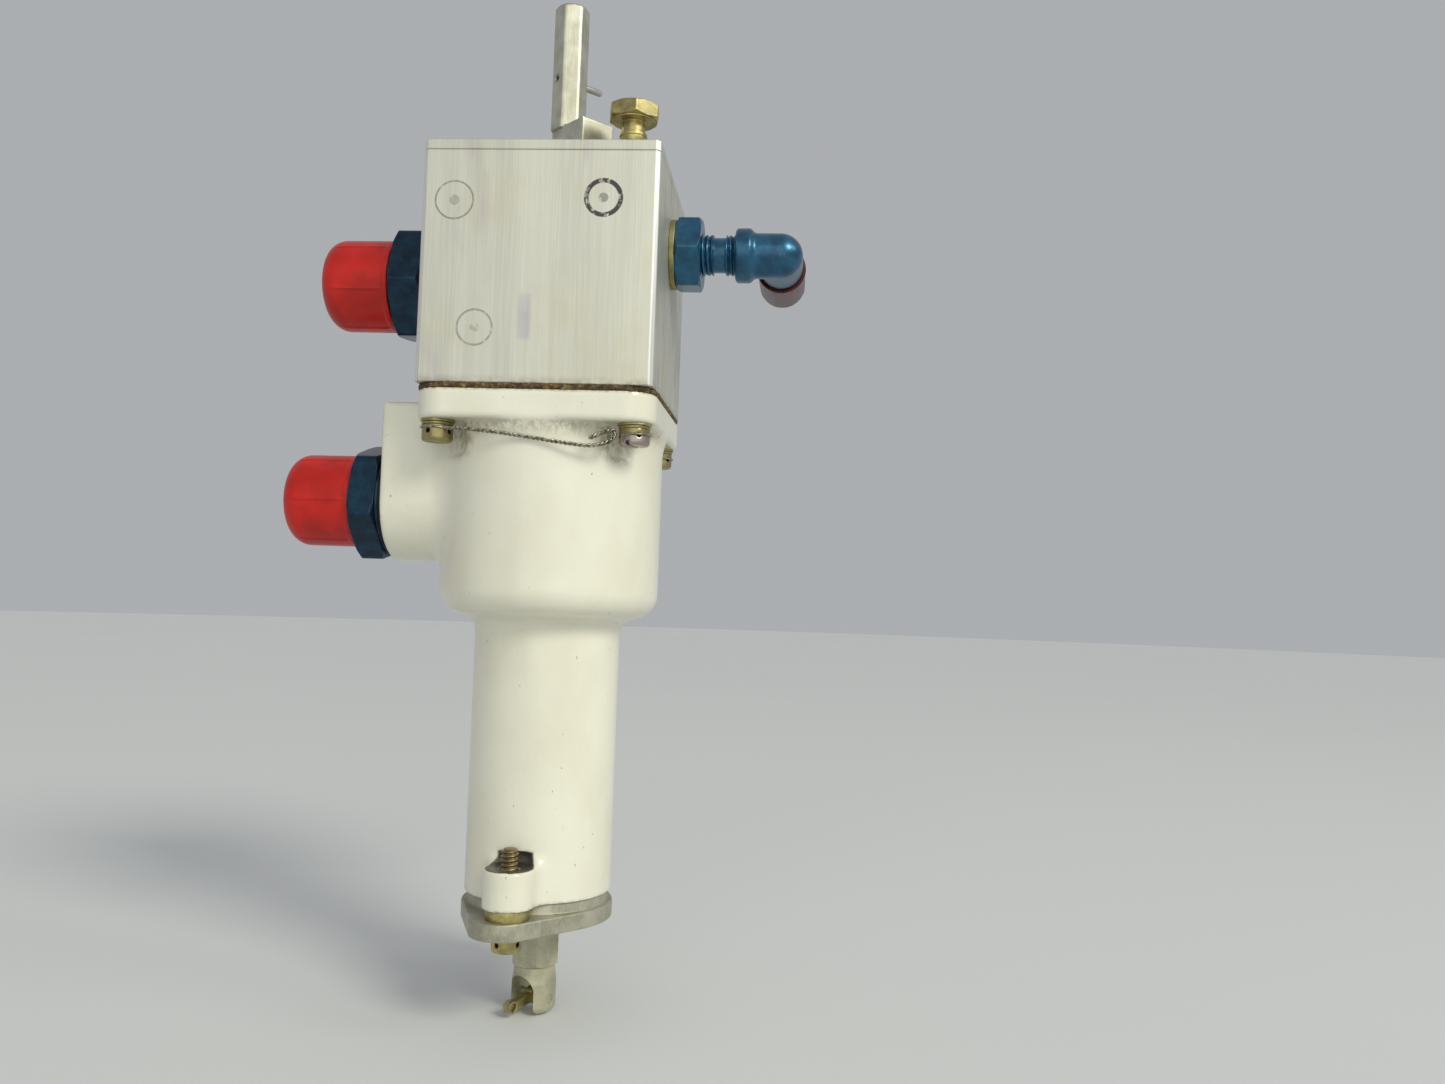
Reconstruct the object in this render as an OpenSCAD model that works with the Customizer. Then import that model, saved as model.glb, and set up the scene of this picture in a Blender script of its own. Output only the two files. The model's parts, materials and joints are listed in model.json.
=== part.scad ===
// Flow control valve: square valve block, cast lower housing, hexagonal control post,
// capped line unions, elbow fitting and a sliding piston rod with a forked end.

/* [Node] */
// which named piece is drawn, or all of them

/* [Valve block] */
// width of the square valve block
block_w = 54; // [52:0.5:56]
// height of the valve block without its cover plate
block_h = 53; // [52:0.5:54]
// thickness of the cover plate
cover_t = 2.4; // [2:0.1:3]
// chamfer on the upright edges of the block
block_chamfer = 0.9; // [0.4:0.1:1.2]
// thickness of the joint gasket
gasket_t = 1.35; // [1:0.05:1.6]

/* [Lower housing] */
// thickness of the housing flange
flange_t = 6.6; // [6:0.1:7]
// radius of the large chamber of the housing
chamber_r = 26.2; // [25.5:0.1:26.4]
// radius of the narrow spring barrel
barrel_r = 17.3; // [17:0.1:17.8]
// height where the large chamber ends, below the block
chamber_bottom = 52; // [51:0.5:53]
// height where the spring barrel ends, below the block
barrel_bottom = 116.7; // [116:0.1:117]
// radius of the side port boss
boss_r = 14.4; // [14:0.1:15]
// distance from the main axis to the face of the port boss
boss_reach = 38.3; // [38:0.1:39]

/* [Fittings] */
// radius of the union threads
union_r = 9.5; // [9.4:0.05:9.6]
// across flats of the union hexagons
union_af = 25.4; // [25:0.1:26]
// height of the upper union axis above the block's bottom face
upper_union_z = 28.3; // [27.8:0.1:28.6]
// depth of the lower union axis below the block's bottom face
lower_union_z = 25.3; // [25:0.1:25.6]
// height of the elbow axis above the block's bottom face
elbow_z = 37.3; // [37:0.1:37.5]
// radius of the protective caps
cap_r = 11.2; // [11:0.1:11.6]

/* [Control post] */
// across flats of the hexagonal post
post_af = 7.6; // [7.2:0.1:7.8]
// height of the top of the post above the block's bottom face
post_top = 99; // [95:0.5:102]
// radius of the journal under the post
journal_r = 4.75; // [4.6:0.05:4.8]

/* [Piston rod] */
// radius of the rod
rod_r = 4.75; // [4.6:0.05:4.8]
// across flats of the rod's hexagon
rod_af = 10.4; // [10.2:0.1:10.8]
// depth of the rod's tip below the block's bottom face
rod_tip = 145.5; // [145:0.5:147]

/* [Hidden] */
$fn = 64;
eps = 0.01;
run_gap = 0.05;
block_top = block_h + cover_t;
half_w = block_w / 2;
flange_bottom = gasket_t + flange_t;
flange_half = half_w + 0.4;
flange_corner = 7;
main_bore_r = 12;
counterbore_r = 10;
spool_r = 8;
chamber_bore_r = 20;
barrel_bore_r = 13;
post_base = 68.2;
post_turn = 15;
rod_hex_turn = 46;
bolt_hex_turn = 43;
foot_turn = 46;
flange_screw_x = 22.6;
flange_screw_y = 21.6;
cover_screw_xy = 21.6;
stop_x = 18.3;
stop_y = -12;
mount_x = 15;
mount_z = 18;
mount_r = 2.05;
mount_depth = 9;
lug_x = 2.2;
lug_y = 20;
lug_r = 5.8;
lug_top = 108;
plate_top = 119.1;
plate_bottom = 123;
screw8_r = 2.05;
link_turn = -121;
link_z = 142;
fork_r = 5.25;
slot_w = 7.2;
slot_axis_z = 140.2;
spring_top = 34.2;
spring_foot = 108.5;
spring_mean_r = 8.6;
spring_wire_r = 1.1;
spring_coils = 11;
seal_t = 1.1;
upper_seat = half_w + seal_t;
lower_seat = boss_reach + seal_t;
upper_hex_end = upper_seat + 11.2;
lower_hex_end = lower_seat + 7.0;
elbow_r = 5.45;
elbow_turn_x = 53.6;
outlet_end = 24.5;
washer_t = 1.2;
spring_pin_r = 0.8;
spring_pin_z = 80.5;
spring_pin_turn = 45;

// ---- shared shapes -------------------------------------------------------

// moves the main axis and the block's bottom plane to their place in the shared frame
module place() {
  translate([0, -half_w, -block_h / 2]) children();
}

// upright cylinder between two heights
module post_z(r, z0, z1) {
  translate([0, 0, z0]) cylinder(h = z1 - z0, r = r);
}

// upright tube between two heights
module tube_z(r_out, r_in, z0, z1) {
  difference() {
    post_z(r_out, z0, z1);
    post_z(r_in, z0 - eps, z1 + eps);
  }
}

// regular hexagon outline, given across its flats
module hexagon(af) {
  circle(r = af / sqrt(3), $fn = 6);
}

// hexagonal prism between two heights with rounded-off corners at both ends
module hex_z(af, z0, z1, turn, cut) {
  corner_r = af / sqrt(3);
  intersection() {
    rotate([0, 0, turn]) translate([0, 0, z0]) linear_extrude(z1 - z0) hexagon(af);
    union() {
      translate([0, 0, z0]) cylinder(h = cut, r1 = corner_r - cut * 1.6, r2 = corner_r);
      post_z(corner_r, z0 + cut - eps, z1 - cut + eps);
      translate([0, 0, z1 - cut]) cylinder(h = cut, r1 = corner_r, r2 = corner_r - cut * 1.6);
    }
  }
}

// ring of round section about the upright axis
module ring_z(mid_r, wire_r, z) {
  translate([0, 0, z]) rotate_extrude() translate([mid_r, 0]) circle(r = wire_r, $fn = 32);
}

// lays an upright shape along +X, its foot at the given distance from the main axis
module along_x(x, z) {
  translate([x, 0, z]) rotate([0, 90, 0]) children();
}

// lays an upright shape along -X, its foot at the given distance from the main axis
module along_minus_x(x, z) {
  translate([-x, 0, z]) rotate([0, -90, 0]) children();
}

// square outline with round corners
module round_square(half, corner) {
  inner = half - corner;
  square([2 * half, 2 * inner], center = true);
  square([2 * inner, 2 * half], center = true);
  for (sx = [-1, 1])
    for (sy = [-1, 1])
      translate([sx * inner, sy * inner]) circle(r = corner);
}

// square outline with cut corners
module cut_square(half, cut) {
  inner = half - cut;
  polygon([
    [half, -inner], [half, inner], [inner, half], [-inner, half],
    [-half, inner], [-half, -inner], [-inner, -half], [inner, -half]
  ]);
}

// the four flange screw positions
module at_flange_screws() {
  for (sx = [-1, 1])
    for (sy = [-1, 1])
      translate([sx * flange_screw_x, sy * flange_screw_y, 0]) children();
}

// the four cover screw positions
module at_cover_screws() {
  for (sx = [-1, 1])
    for (sy = [-1, 1])
      translate([sx * cover_screw_xy, sy * cover_screw_xy, 0]) children();
}

// the two lug positions, one at the front and one at the back
module at_lugs() {
  for (s = [-1, 1])
    translate([s * lug_x, s * lug_y, 0]) children();
}

// point at share t between points i and i + 1 of a smooth line through a list of points
function smooth_point(points, i, t) =
  let (
    last = len(points) - 1,
    a = points[max(i - 1, 0)],
    b = points[i],
    c = points[i + 1],
    d = points[min(i + 2, last)]
  )
  0.5 * (2 * b + (c - a) * t + (2 * a - 5 * b + 4 * c - d) * t * t + (3 * b - a - 3 * c + d) * t * t * t);

// the smooth line as a list of points, with a number of steps between each pair
function smooth_line(points, steps) = concat(
  [for (i = [0 : len(points) - 2]) for (k = [0 : steps - 1]) smooth_point(points, i, k / steps)],
  [points[len(points) - 1]]
);

// round bar along a list of points, one closed skin
module bar_along(path, r, sides) {
  last = len(path) - 1;
  rings = [for (i = [0 : last])
    let (
      step = path[min(i + 1, last)] - path[max(i - 1, 0)],
      ahead = step / norm(step),
      aside = cross(ahead, [0, 0, 1]),
      across = aside / norm(aside),
      up = cross(across, ahead)
    )
    for (k = [0 : sides - 1])
      path[i] + r * cos(360 * k / sides) * across + r * sin(360 * k / sides) * up
  ];
  walls = [for (i = [0 : last - 1])
    for (k = [0 : sides - 1])
      [i * sides + k, i * sides + (k + 1) % sides, (i + 1) * sides + (k + 1) % sides, (i + 1) * sides + k]
  ];
  first = [for (k = [0 : sides - 1]) sides - 1 - k];
  end = [for (k = [0 : sides - 1]) last * sides + k];
  polyhedron(points = rings, faces = concat(walls, [first, end]), convexity = 10);
}

// ---- valve block ---------------------------------------------------------

module valve_block() {
  main_bore_top = 42;
  gland_floor = 41;
  union_depth = 11.2;
  elbow_depth = 10.2;
  color([0.76, 0.76, 0.72])
  difference() {
    linear_extrude(block_h) cut_square(half_w, block_chamfer);
    // stepped main bore for the sleeve and the shaft gland
    post_z(main_bore_r, -eps, main_bore_top);
    post_z(counterbore_r, gland_floor, block_h + eps);
    // groove of the sleeve's retaining ring
    tube_z(main_bore_r + 1.2, 1, 0.6, 1.7);
    // left line port
    along_minus_x(half_w - union_depth, upper_union_z) cylinder(h = union_depth + 1, r = union_r);
    along_minus_x(main_bore_r - 2, upper_union_z) cylinder(h = 8, r = 4);
    // right line port
    along_x(half_w - elbow_depth, elbow_z) cylinder(h = elbow_depth + 1, r = 4.95);
    along_x(main_bore_r - 2, elbow_z) cylinder(h = 8, r = 2.2);
    // tapped holes
    at_flange_screws() post_z(screw8_r, -eps, 12);
    at_cover_screws() post_z(1.4, block_h - 10, block_h + eps);
    translate([stop_x, stop_y, 0]) post_z(2.8, block_h - 14, block_h + eps);
    // mounting holes in the back
    for (sx = [-1, 1])
      for (sz = [-1, 1])
        translate([sx * mount_x, half_w + eps, block_h / 2 + sz * mount_z])
          rotate([90, 0, 0])
            cylinder(h = mount_depth, r = mount_r);
  }
}

module cover_plate() {
  color([0.74, 0.74, 0.70])
  difference() {
    translate([0, 0, block_h]) linear_extrude(cover_t) cut_square(half_w, block_chamfer);
    post_z(7.05, block_h - eps, block_top + eps);
    translate([stop_x, stop_y, 0]) post_z(2.85, block_h - eps, block_top + eps);
    at_cover_screws() {
      post_z(1.5, block_h - eps, block_top + eps);
      translate([0, 0, block_top - 1.6]) cylinder(h = 1.6 + eps, r1 = 1.5, r2 = 3.1);
    }
    // groove of the cover seal
    tube_z(9.6, 8.0, block_h - eps, block_h + 0.8);
  }
}

module cover_screws() {
  color([0.62, 0.60, 0.55])
  at_cover_screws()
    difference() {
      union() {
        post_z(1.4, block_h - 8, block_top - 0.1);
        translate([0, 0, block_top - 1.62]) cylinder(h = 1.52, r1 = 1.42, r2 = 2.94);
      }
      translate([-3.5, -0.35, block_top - 0.8]) cube([7, 0.7, 1]);
    }
}

module cover_seal() {
  color([0.08, 0.08, 0.08]) ring_z(8.8, 0.38, block_h + 0.4);
}

// flanged bushing that guides the journal under the cover plate
module gland_bushing() {
  color([0.68, 0.50, 0.25])
  difference() {
    union() {
      post_z(counterbore_r - 0.02, 46.6, block_h);
      post_z(7.0, block_h - eps, block_top + 1.6);
    }
    post_z(journal_r + run_gap, 46, block_top + 2);
    tube_z(6.7, 1, 48.6, 50.6);
  }
}

module shaft_seal() {
  color([0.08, 0.08, 0.08]) ring_z(5.72, 0.9, 49.6);
}

module thrust_washer() {
  color([0.70, 0.55, 0.30]) tube_z(8.5, journal_r + 0.15, 45.7, 46.5);
}

// ---- metering parts ------------------------------------------------------

module metering_sleeve() {
  sleeve_top = 40.9;
  color([0.66, 0.66, 0.66])
  difference() {
    post_z(main_bore_r - 0.02, 1.8, sleeve_top);
    post_z(spool_r + run_gap, 1, sleeve_top + eps);
    tube_z(spool_r + 0.9, 1, 2.6, 3.7);
    along_minus_x(5, upper_union_z) cylinder(h = 10, r = 3.6);
    along_x(5, elbow_z) cylinder(h = 10, r = 1.8);
    for (z = [9, 20, 33.6])
      tube_z(main_bore_r + 1, main_bore_r - 1.5, z - 1.0, z + 1.0);
  }
}

module sleeve_seals() {
  color([0.08, 0.08, 0.08])
  for (z = [9, 20, 33.6])
    ring_z(main_bore_r - 0.78, 0.72, z);
}

module sleeve_retaining_ring() {
  color([0.35, 0.35, 0.37])
  difference() {
    tube_z(main_bore_r + 1.1, main_bore_r - 1.6, 0.7, 1.6);
    translate([0, -2, 0]) cube([main_bore_r + 3, 4, 3]);
  }
}

module metering_spool() {
  spool_top = 35.4;
  color([0.72, 0.72, 0.74])
  difference() {
    post_z(spool_r, 4, spool_top);
    post_z(5.4, 3, 29);
    // metering window that meets the left line port
    translate([-spool_r - 1, -2.6, upper_union_z - 3.2]) cube([6, 5.2, 3.8]);
    // drive slot for the post's tongue
    translate([-spool_r - 1, -1.75, 32.4]) cube([2 * spool_r + 2, 3.5, 4]);
  }
}

module spool_retaining_ring() {
  color([0.35, 0.35, 0.37])
  difference() {
    tube_z(spool_r + 0.8, spool_r - 1.4, 2.7, 3.6);
    translate([0, -1.6, 2]) cube([spool_r + 3, 3.2, 3]);
  }
}

// journal, drive tongue, foot block with stop finger and hexagonal post, forged in one piece
module control_post() {
  foot_z = 59.8;
  foot_w = 9.4;
  foot_l = 13.2;
  finger_z = 57.6;
  finger_w = 3.2;
  finger_l = 20;
  tongue_r = 6.6;
  tongue_w = 3.4;
  tongue_foot = 32.6;
  tongue_h = 9.4;
  neck_r = 4.2;
  collar_r = 8.2;
  collar_foot = 43.2;
  collar_top = 45.6;
  color([0.80, 0.80, 0.70])
  difference() {
    union() {
      // tongue, neck and thrust collar
      intersection() {
        post_z(tongue_r, tongue_foot, tongue_foot + tongue_h);
        translate([-tongue_r, -tongue_w / 2, tongue_foot]) cube([2 * tongue_r, tongue_w, tongue_h]);
      }
      post_z(neck_r, 36.2, 44.4);
      post_z(collar_r, collar_foot, collar_top);
      post_z(journal_r, 44, foot_z + 1);
      // foot block, turned away from the block's sides
      rotate([0, 0, foot_turn])
        translate([-3.0, -10.5, foot_z])
          cube([foot_w, foot_l, post_base - foot_z]);
      // stop finger below the foot block
      rotate([0, 0, foot_turn])
        translate([-3.0, -20.4, finger_z])
          cube([finger_w, finger_l, foot_z - finger_z + 0.5]);
      hex_z(post_af, post_base - 0.6, post_top, post_turn, 0.7);
    }
    // hole of the spring pin
    translate([0, 0, spring_pin_z])
      rotate([0, 0, spring_pin_turn])
        rotate([0, 90, 0])
          cylinder(h = 20, r = spring_pin_r + 0.01, center = true, $fn = 32);
  }
}

// slotted spring pin through the post, flush on one side
module post_spring_pin() {
  pin_back = -3.6;
  pin_l = 12.9;
  wall = 0.28;
  slit = 0.32;
  color([0.75, 0.74, 0.68])
  translate([0, 0, spring_pin_z])
    rotate([0, 0, spring_pin_turn])
      rotate([0, 90, 0])
        difference() {
          translate([0, 0, pin_back]) cylinder(h = pin_l, r = spring_pin_r, $fn = 32);
          translate([0, 0, pin_back - 0.4]) cylinder(h = pin_l + 1, r = spring_pin_r - wall, $fn = 32);
          translate([-slit / 2, -1.5 * spring_pin_r, pin_back - 0.4])
            cube([slit, 1.5 * spring_pin_r, pin_l + 1]);
        }
}

// ---- stop bolt -----------------------------------------------------------

module stop_bolt() {
  shank_r = 2.72;
  head_z = 65.2;
  color([0.72, 0.66, 0.30])
  translate([stop_x, stop_y, 0])
    union() {
      post_z(shank_r, block_h - 11, head_z + eps);
      post_z(5.2, head_z, head_z + 0.5);
      hex_z(11.1, head_z + 0.4, head_z + 3.9, bolt_hex_turn, 0.5);
    }
}

module stop_bolt_sleeve() {
  color([0.66, 0.60, 0.30])
  translate([stop_x, stop_y, 0])
    union() {
      tube_z(3.1, 2.78, block_top, 62.4);
      tube_z(3.25, 2.78, 61.6, 62.4);
    }
}

// ---- joint and lower housing ---------------------------------------------

module flange_gasket() {
  color([0.30, 0.22, 0.12])
  difference() {
    translate([0, 0, -gasket_t]) linear_extrude(gasket_t) round_square(flange_half + 0.15, flange_corner);
    post_z(chamber_bore_r + 0.5, -gasket_t - eps, eps);
    at_flange_screws() post_z(2.4, -gasket_t - eps, eps);
  }
}

// outside of revolution of the housing, with its bottom edge rounded
module housing_turned() {
  edge = 6;
  root = 3;
  rotate_extrude($fn = 128)
    union() {
      translate([0, -barrel_bottom]) square([barrel_r, barrel_bottom - flange_bottom + 1]);
      translate([0, -chamber_bottom]) square([chamber_r - edge, chamber_bottom - flange_bottom + 1]);
      translate([0, -chamber_bottom + edge]) square([chamber_r, chamber_bottom - edge - flange_bottom + 1]);
      translate([chamber_r - edge, -chamber_bottom + edge]) circle(r = edge, $fn = 96);
      // fillet where the spring barrel leaves the chamber
      difference() {
        translate([barrel_r - eps, -chamber_bottom - root]) square([root, root + 1]);
        translate([barrel_r + root, -chamber_bottom - root]) circle(r = root, $fn = 64);
        translate([barrel_r + root / 2, -chamber_bottom]) square([root, 2]);
      }
    }
}

module lower_housing() {
  chamber_floor = 44;
  union_face = boss_reach;
  boss_step = 1.2;
  pocket_r = 6.2;
  pocket_h = 7.4;
  spot_r = 5.2;
  spot_h = 3;
  color([0.90, 0.90, 0.80])
  difference() {
    union() {
      translate([0, 0, -flange_bottom])
        linear_extrude(flange_t) round_square(flange_half, flange_corner);
      housing_turned();
      // blend between flange and chamber
      translate([0, 0, -flange_bottom - 3]) cylinder(h = 3.2, r1 = chamber_r - 0.2, r2 = chamber_r + 1.0);
      // port boss: half round below its axis, straight up to the flange
      along_minus_x(0, -lower_union_z) cylinder(h = union_face, r = boss_r);
      translate([-union_face, -boss_r, -lower_union_z])
        cube([union_face, 2 * boss_r, lower_union_z - gasket_t - boss_step]);
      // lugs for the end plate
      at_lugs() post_z(lug_r, -barrel_bottom, -lug_top);
      for (s = [-1, 1])
        translate([s * lug_x / 2 - lug_r + 1.2, s * lug_y / 2 - lug_y / 2, -barrel_bottom])
          cube([2 * lug_r - 2.4, lug_y, barrel_bottom - lug_top]);
    }
    // tool clearance round the flange screws
    at_flange_screws() post_z(pocket_r, -flange_bottom - pocket_h, -flange_bottom);
    at_flange_screws() post_z(2.3, -flange_bottom - eps, -gasket_t + eps);
    // chamber and spring barrel bores
    post_z(chamber_bore_r, -chamber_floor, -gasket_t + eps);
    post_z(barrel_bore_r, -barrel_bottom - eps, -chamber_floor + eps);
    // side port
    along_minus_x(union_face - 11.2, -lower_union_z) cylinder(h = 12, r = union_r);
    along_minus_x(18, -lower_union_z) cylinder(h = 12, r = 5.5);
    // spot face cut into the barrel above each lug
    at_lugs() post_z(spot_r, -lug_top, -lug_top + spot_h);
    // tapped lugs
    at_lugs() post_z(screw8_r, -barrel_bottom - eps, -lug_top + eps);
  }
}

// drilled fillister head with its shank above it; the head's lower face is at the given height
module fillister(head_r, head_h, shank_r, shank_l) {
  wire_hole_r = 0.55;
  difference() {
    union() {
      post_z(head_r, 0.9, head_h);
      cylinder(h = 0.9 + eps, r1 = head_r - 0.7, r2 = head_r);
      post_z(shank_r, head_h - eps, head_h + shank_l);
    }
    translate([-head_r, -0.45, -eps]) cube([2 * head_r, 0.9, 1.1]);
    // two crossing holes for the locking wire
    for (a = [45, -45])
      translate([0, 0, head_h * 0.6])
        rotate([90, 0, a])
          cylinder(h = 3 * head_r, r = wire_hole_r, center = true, $fn = 24);
  }
}

module flange_screws() {
  head_h = 3.8;
  color([0.72, 0.66, 0.32])
  at_flange_screws()
    translate([0, 0, -flange_bottom - washer_t - head_h])
      fillister(3.5, head_h, screw8_r - 0.02, 18);
}

module flange_washers() {
  color([0.70, 0.66, 0.40])
  at_flange_screws() tube_z(3.9, 2.35, -flange_bottom - washer_t, -flange_bottom);
}

// locking wire from one flange screw, round the front of the chamber, to the next,
// where it turns back into a short tail
module lock_wire() {
  head_z = -flange_bottom - 2.1;
  front = chamber_r + 0.9;
  route = [
    [-flange_screw_x + 2.6, -flange_screw_y - 2.6, head_z],
    [-15.5, -front + 1.0, head_z - 0.3],
    [-8, -front, head_z - 1.0],
    [0, -front, head_z - 2.0],
    [8, -front, head_z - 3.1],
    [13.5, -front + 0.5, head_z - 3.5],
    [17.2, -front + 1.2, head_z - 2.6],
    [18.7, -front + 1.7, head_z - 1.2],
    [18.3, -front + 1.4, head_z + 0.1],
    [16.1, -front + 0.6, head_z - 0.7],
    [13.3, -front + 0.1, head_z - 1.9]
  ];
  color([0.70, 0.70, 0.66]) bar_along(smooth_line(route, 5), 0.5, 10);
}

module lock_wire_front() {
  lock_wire();
}

module lock_wire_rear() {
  mirror([0, 1, 0]) lock_wire();
}

// ---- line unions and caps ------------------------------------------------

// straight union drawn upright: inner thread, shoulder, hexagon, outer thread
module union_body(inner_l, shoulder_l, hex_l, outer_l, turn) {
  corner_r = union_af / sqrt(3);
  hex_0 = shoulder_l;
  hex_1 = shoulder_l + hex_l;
  difference() {
    union() {
      post_z(union_r - 0.02, -inner_l, 0.5);
      post_z(12.4, 0, hex_0 + eps);
      hex_z(union_af, hex_0, hex_1, turn, 0.6);
      post_z(8.2, hex_1 - eps, hex_1 + 2.5);
      post_z(union_r, hex_1 + 2, hex_1 + outer_l - 0.8);
      translate([0, 0, hex_1 + outer_l - 0.8]) cylinder(h = 0.8, r1 = union_r, r2 = union_r - 0.8);
    }
    post_z(6.2, -inner_l - eps, hex_1 + outer_l + eps);
  }
}

// round seal ring under a union, drawn upright
module union_seal_ring() {
  tube_z(12.2, union_r + 0.1, 0, seal_t);
}

// protective cap drawn upright, open end down, with a rounded outer end
module cap_body(r_out, r_in, depth, length, edge) {
  difference() {
    rotate_extrude($fn = 96)
      union() {
        square([r_out, length - edge]);
        square([r_out - edge, length]);
        intersection() {
          translate([r_out - edge, length - edge]) circle(r = edge, $fn = 96);
          translate([0, length - edge - 1]) square([r_out + 1, edge + 2]);
        }
      }
    post_z(r_in, -eps, depth);
  }
}

module upper_union() {
  color([0.06, 0.17, 0.28])
  along_minus_x(upper_seat, upper_union_z) union_body(12, 3.2, 8, 15.2, 24);
}

module upper_union_seal() {
  color([0.16, 0.15, 0.12])
  along_minus_x(half_w, upper_union_z) union_seal_ring();
}

module upper_cap() {
  color([0.72, 0.11, 0.09])
  along_minus_x(upper_hex_end + 0.9, upper_union_z) cap_body(cap_r, union_r + 0.08, 15.1, 17.3, 4.4);
}

module lower_union() {
  color([0.06, 0.17, 0.28])
  along_minus_x(lower_seat, -lower_union_z) union_body(12, 0.6, 6.4, 15.2, 13.5);
}

module lower_union_seal() {
  color([0.16, 0.15, 0.12])
  along_minus_x(boss_reach, -lower_union_z) union_seal_ring();
}

module lower_cap() {
  color([0.72, 0.11, 0.09])
  along_minus_x(lower_hex_end + 0.6, -lower_union_z) cap_body(cap_r, union_r + 0.08, 15.1, 17.3, 4.4);
}

// ---- elbow ---------------------------------------------------------------

module elbow_fitting() {
  thread_r = 4.93;
  color([0.10, 0.36, 0.48])
  difference() {
    union() {
      along_x(half_w - 9.6, elbow_z) cylinder(h = 20, r = thread_r);
      along_x(37.3, elbow_z) cylinder(h = 3.3, r = 4.2);
      along_x(40.5, elbow_z) cylinder(h = 2.3, r = thread_r);
      along_x(42.7, elbow_z) cylinder(h = 4.1, r = 6.55);
      along_x(46.7, elbow_z) cylinder(h = elbow_turn_x - 46.7, r = elbow_r);
      // rounded outer corner
      translate([elbow_turn_x, 0, elbow_z]) sphere(r = elbow_r, $fn = 96);
      // outlet leg away from the front
      translate([elbow_turn_x, 0, elbow_z]) rotate([-90, 0, 0]) cylinder(h = 10, r = elbow_r);
      translate([elbow_turn_x, 9.9, elbow_z]) rotate([-90, 0, 0]) cylinder(h = outlet_end - 9.9, r = 4.93);
    }
    // passage through both legs
    along_x(half_w - 10, elbow_z) cylinder(h = elbow_turn_x - half_w + 10, r = 2.6);
    translate([elbow_turn_x, 0, elbow_z]) sphere(r = 2.6);
    translate([elbow_turn_x, 0, elbow_z]) rotate([-90, 0, 0]) cylinder(h = outlet_end + 1, r = 2.6);
  }
}

module elbow_jam_nut() {
  color([0.10, 0.34, 0.42])
  along_x(half_w + 1.45, elbow_z)
    difference() {
      hex_z(16.4, 0, 6.1, 33.7, 0.7);
      post_z(4.98, -eps, 6.2);
    }
}

module elbow_washer() {
  color([0.62, 0.58, 0.30])
  along_x(half_w, elbow_z) tube_z(8.9, 4.98, 0, 1.4);
}

module elbow_cap() {
  color([0.42, 0.10, 0.07])
  translate([elbow_turn_x, 10.6, elbow_z])
    rotate([-90, 0, 0])
      cap_body(6.2, 5.0, 15.4, 17.6, 2);
}

// ---- piston, rod and spring ----------------------------------------------

module piston() {
  color([0.70, 0.70, 0.72])
  difference() {
    post_z(chamber_bore_r - run_gap, -spring_top + 0.2, -12);
    // waist that lets the fluid round the piston
    tube_z(chamber_bore_r + 1, 15.5, -30, -20);
    // seal grooves
    tube_z(chamber_bore_r + 1, 18.4, -17, -15);
    tube_z(chamber_bore_r + 1, 18.4, -33, -31);
    post_z(4.03, -spring_top - 1, -11);
    for (a = [0 : 60 : 300])
      rotate([0, 0, a]) translate([10.5, 0, 0]) post_z(2.2, -spring_top - 1, -11);
    // cross ports
    for (a = [0, 90])
      translate([0, 0, -25]) rotate([90, 0, a + 30]) cylinder(h = 45, r = 1.8, center = true);
  }
}

module piston_seals() {
  color([0.08, 0.08, 0.08])
  for (z = [-16, -32])
    ring_z(19.2, 0.75, z);
}

module piston_nut() {
  color([0.55, 0.55, 0.55])
  difference() {
    hex_z(12.7, -12, -7.4, 20, 0.6);
    post_z(4.03, -13, -6);
  }
}

// rod with its upper stud, hexagon and forked tip, in one piece
module piston_rod() {
  hex_top = -plate_bottom - 0.25;
  hex_bottom = -134.8;
  fork_top = -138.5;
  neck_r = 4.75;
  end_round = 1.8;
  color([0.68, 0.67, 0.56])
  difference() {
    union() {
      post_z(4.0, -spring_top, -6.2);
      post_z(rod_r, hex_top - 1, -spring_top + 0.1);
      hex_z(rod_af, hex_bottom, hex_top, rod_hex_turn, 0.8);
      post_z(neck_r, hex_bottom - eps, hex_bottom + 1);
      translate([0, 0, fork_top]) cylinder(h = hex_bottom - fork_top, r1 = fork_r, r2 = neck_r);
      // fork with a rounded lower edge
      rotate_extrude($fn = 96)
        union() {
          translate([0, -rod_tip + end_round]) square([fork_r, rod_tip - end_round + fork_top]);
          translate([0, -rod_tip]) square([fork_r - end_round, end_round + 1]);
          translate([fork_r - end_round, -rod_tip + end_round]) circle(r = end_round);
        }
    }
    // fork slot with a round root, and the hole of the cross pin
    rotate([0, 0, link_turn]) {
      translate([-8, -slot_w / 2, -rod_tip - 1]) cube([16, slot_w, rod_tip + 1 - slot_axis_z]);
      translate([-8, 0, -slot_axis_z]) rotate([0, 90, 0]) cylinder(h = 16, r = slot_w / 2);
      translate([0, 10, -link_z]) rotate([90, 0, 0]) cylinder(h = 20, r = 1.02, $fn = 32);
    }
  }
}

module fork_cross_pin() {
  color([0.62, 0.58, 0.36])
  rotate([0, 0, link_turn])
    translate([0, fork_r - 0.2, -link_z])
      rotate([90, 0, 0])
        cylinder(h = 2 * fork_r - 0.4, r = 1.0, $fn = 32);
}

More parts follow.
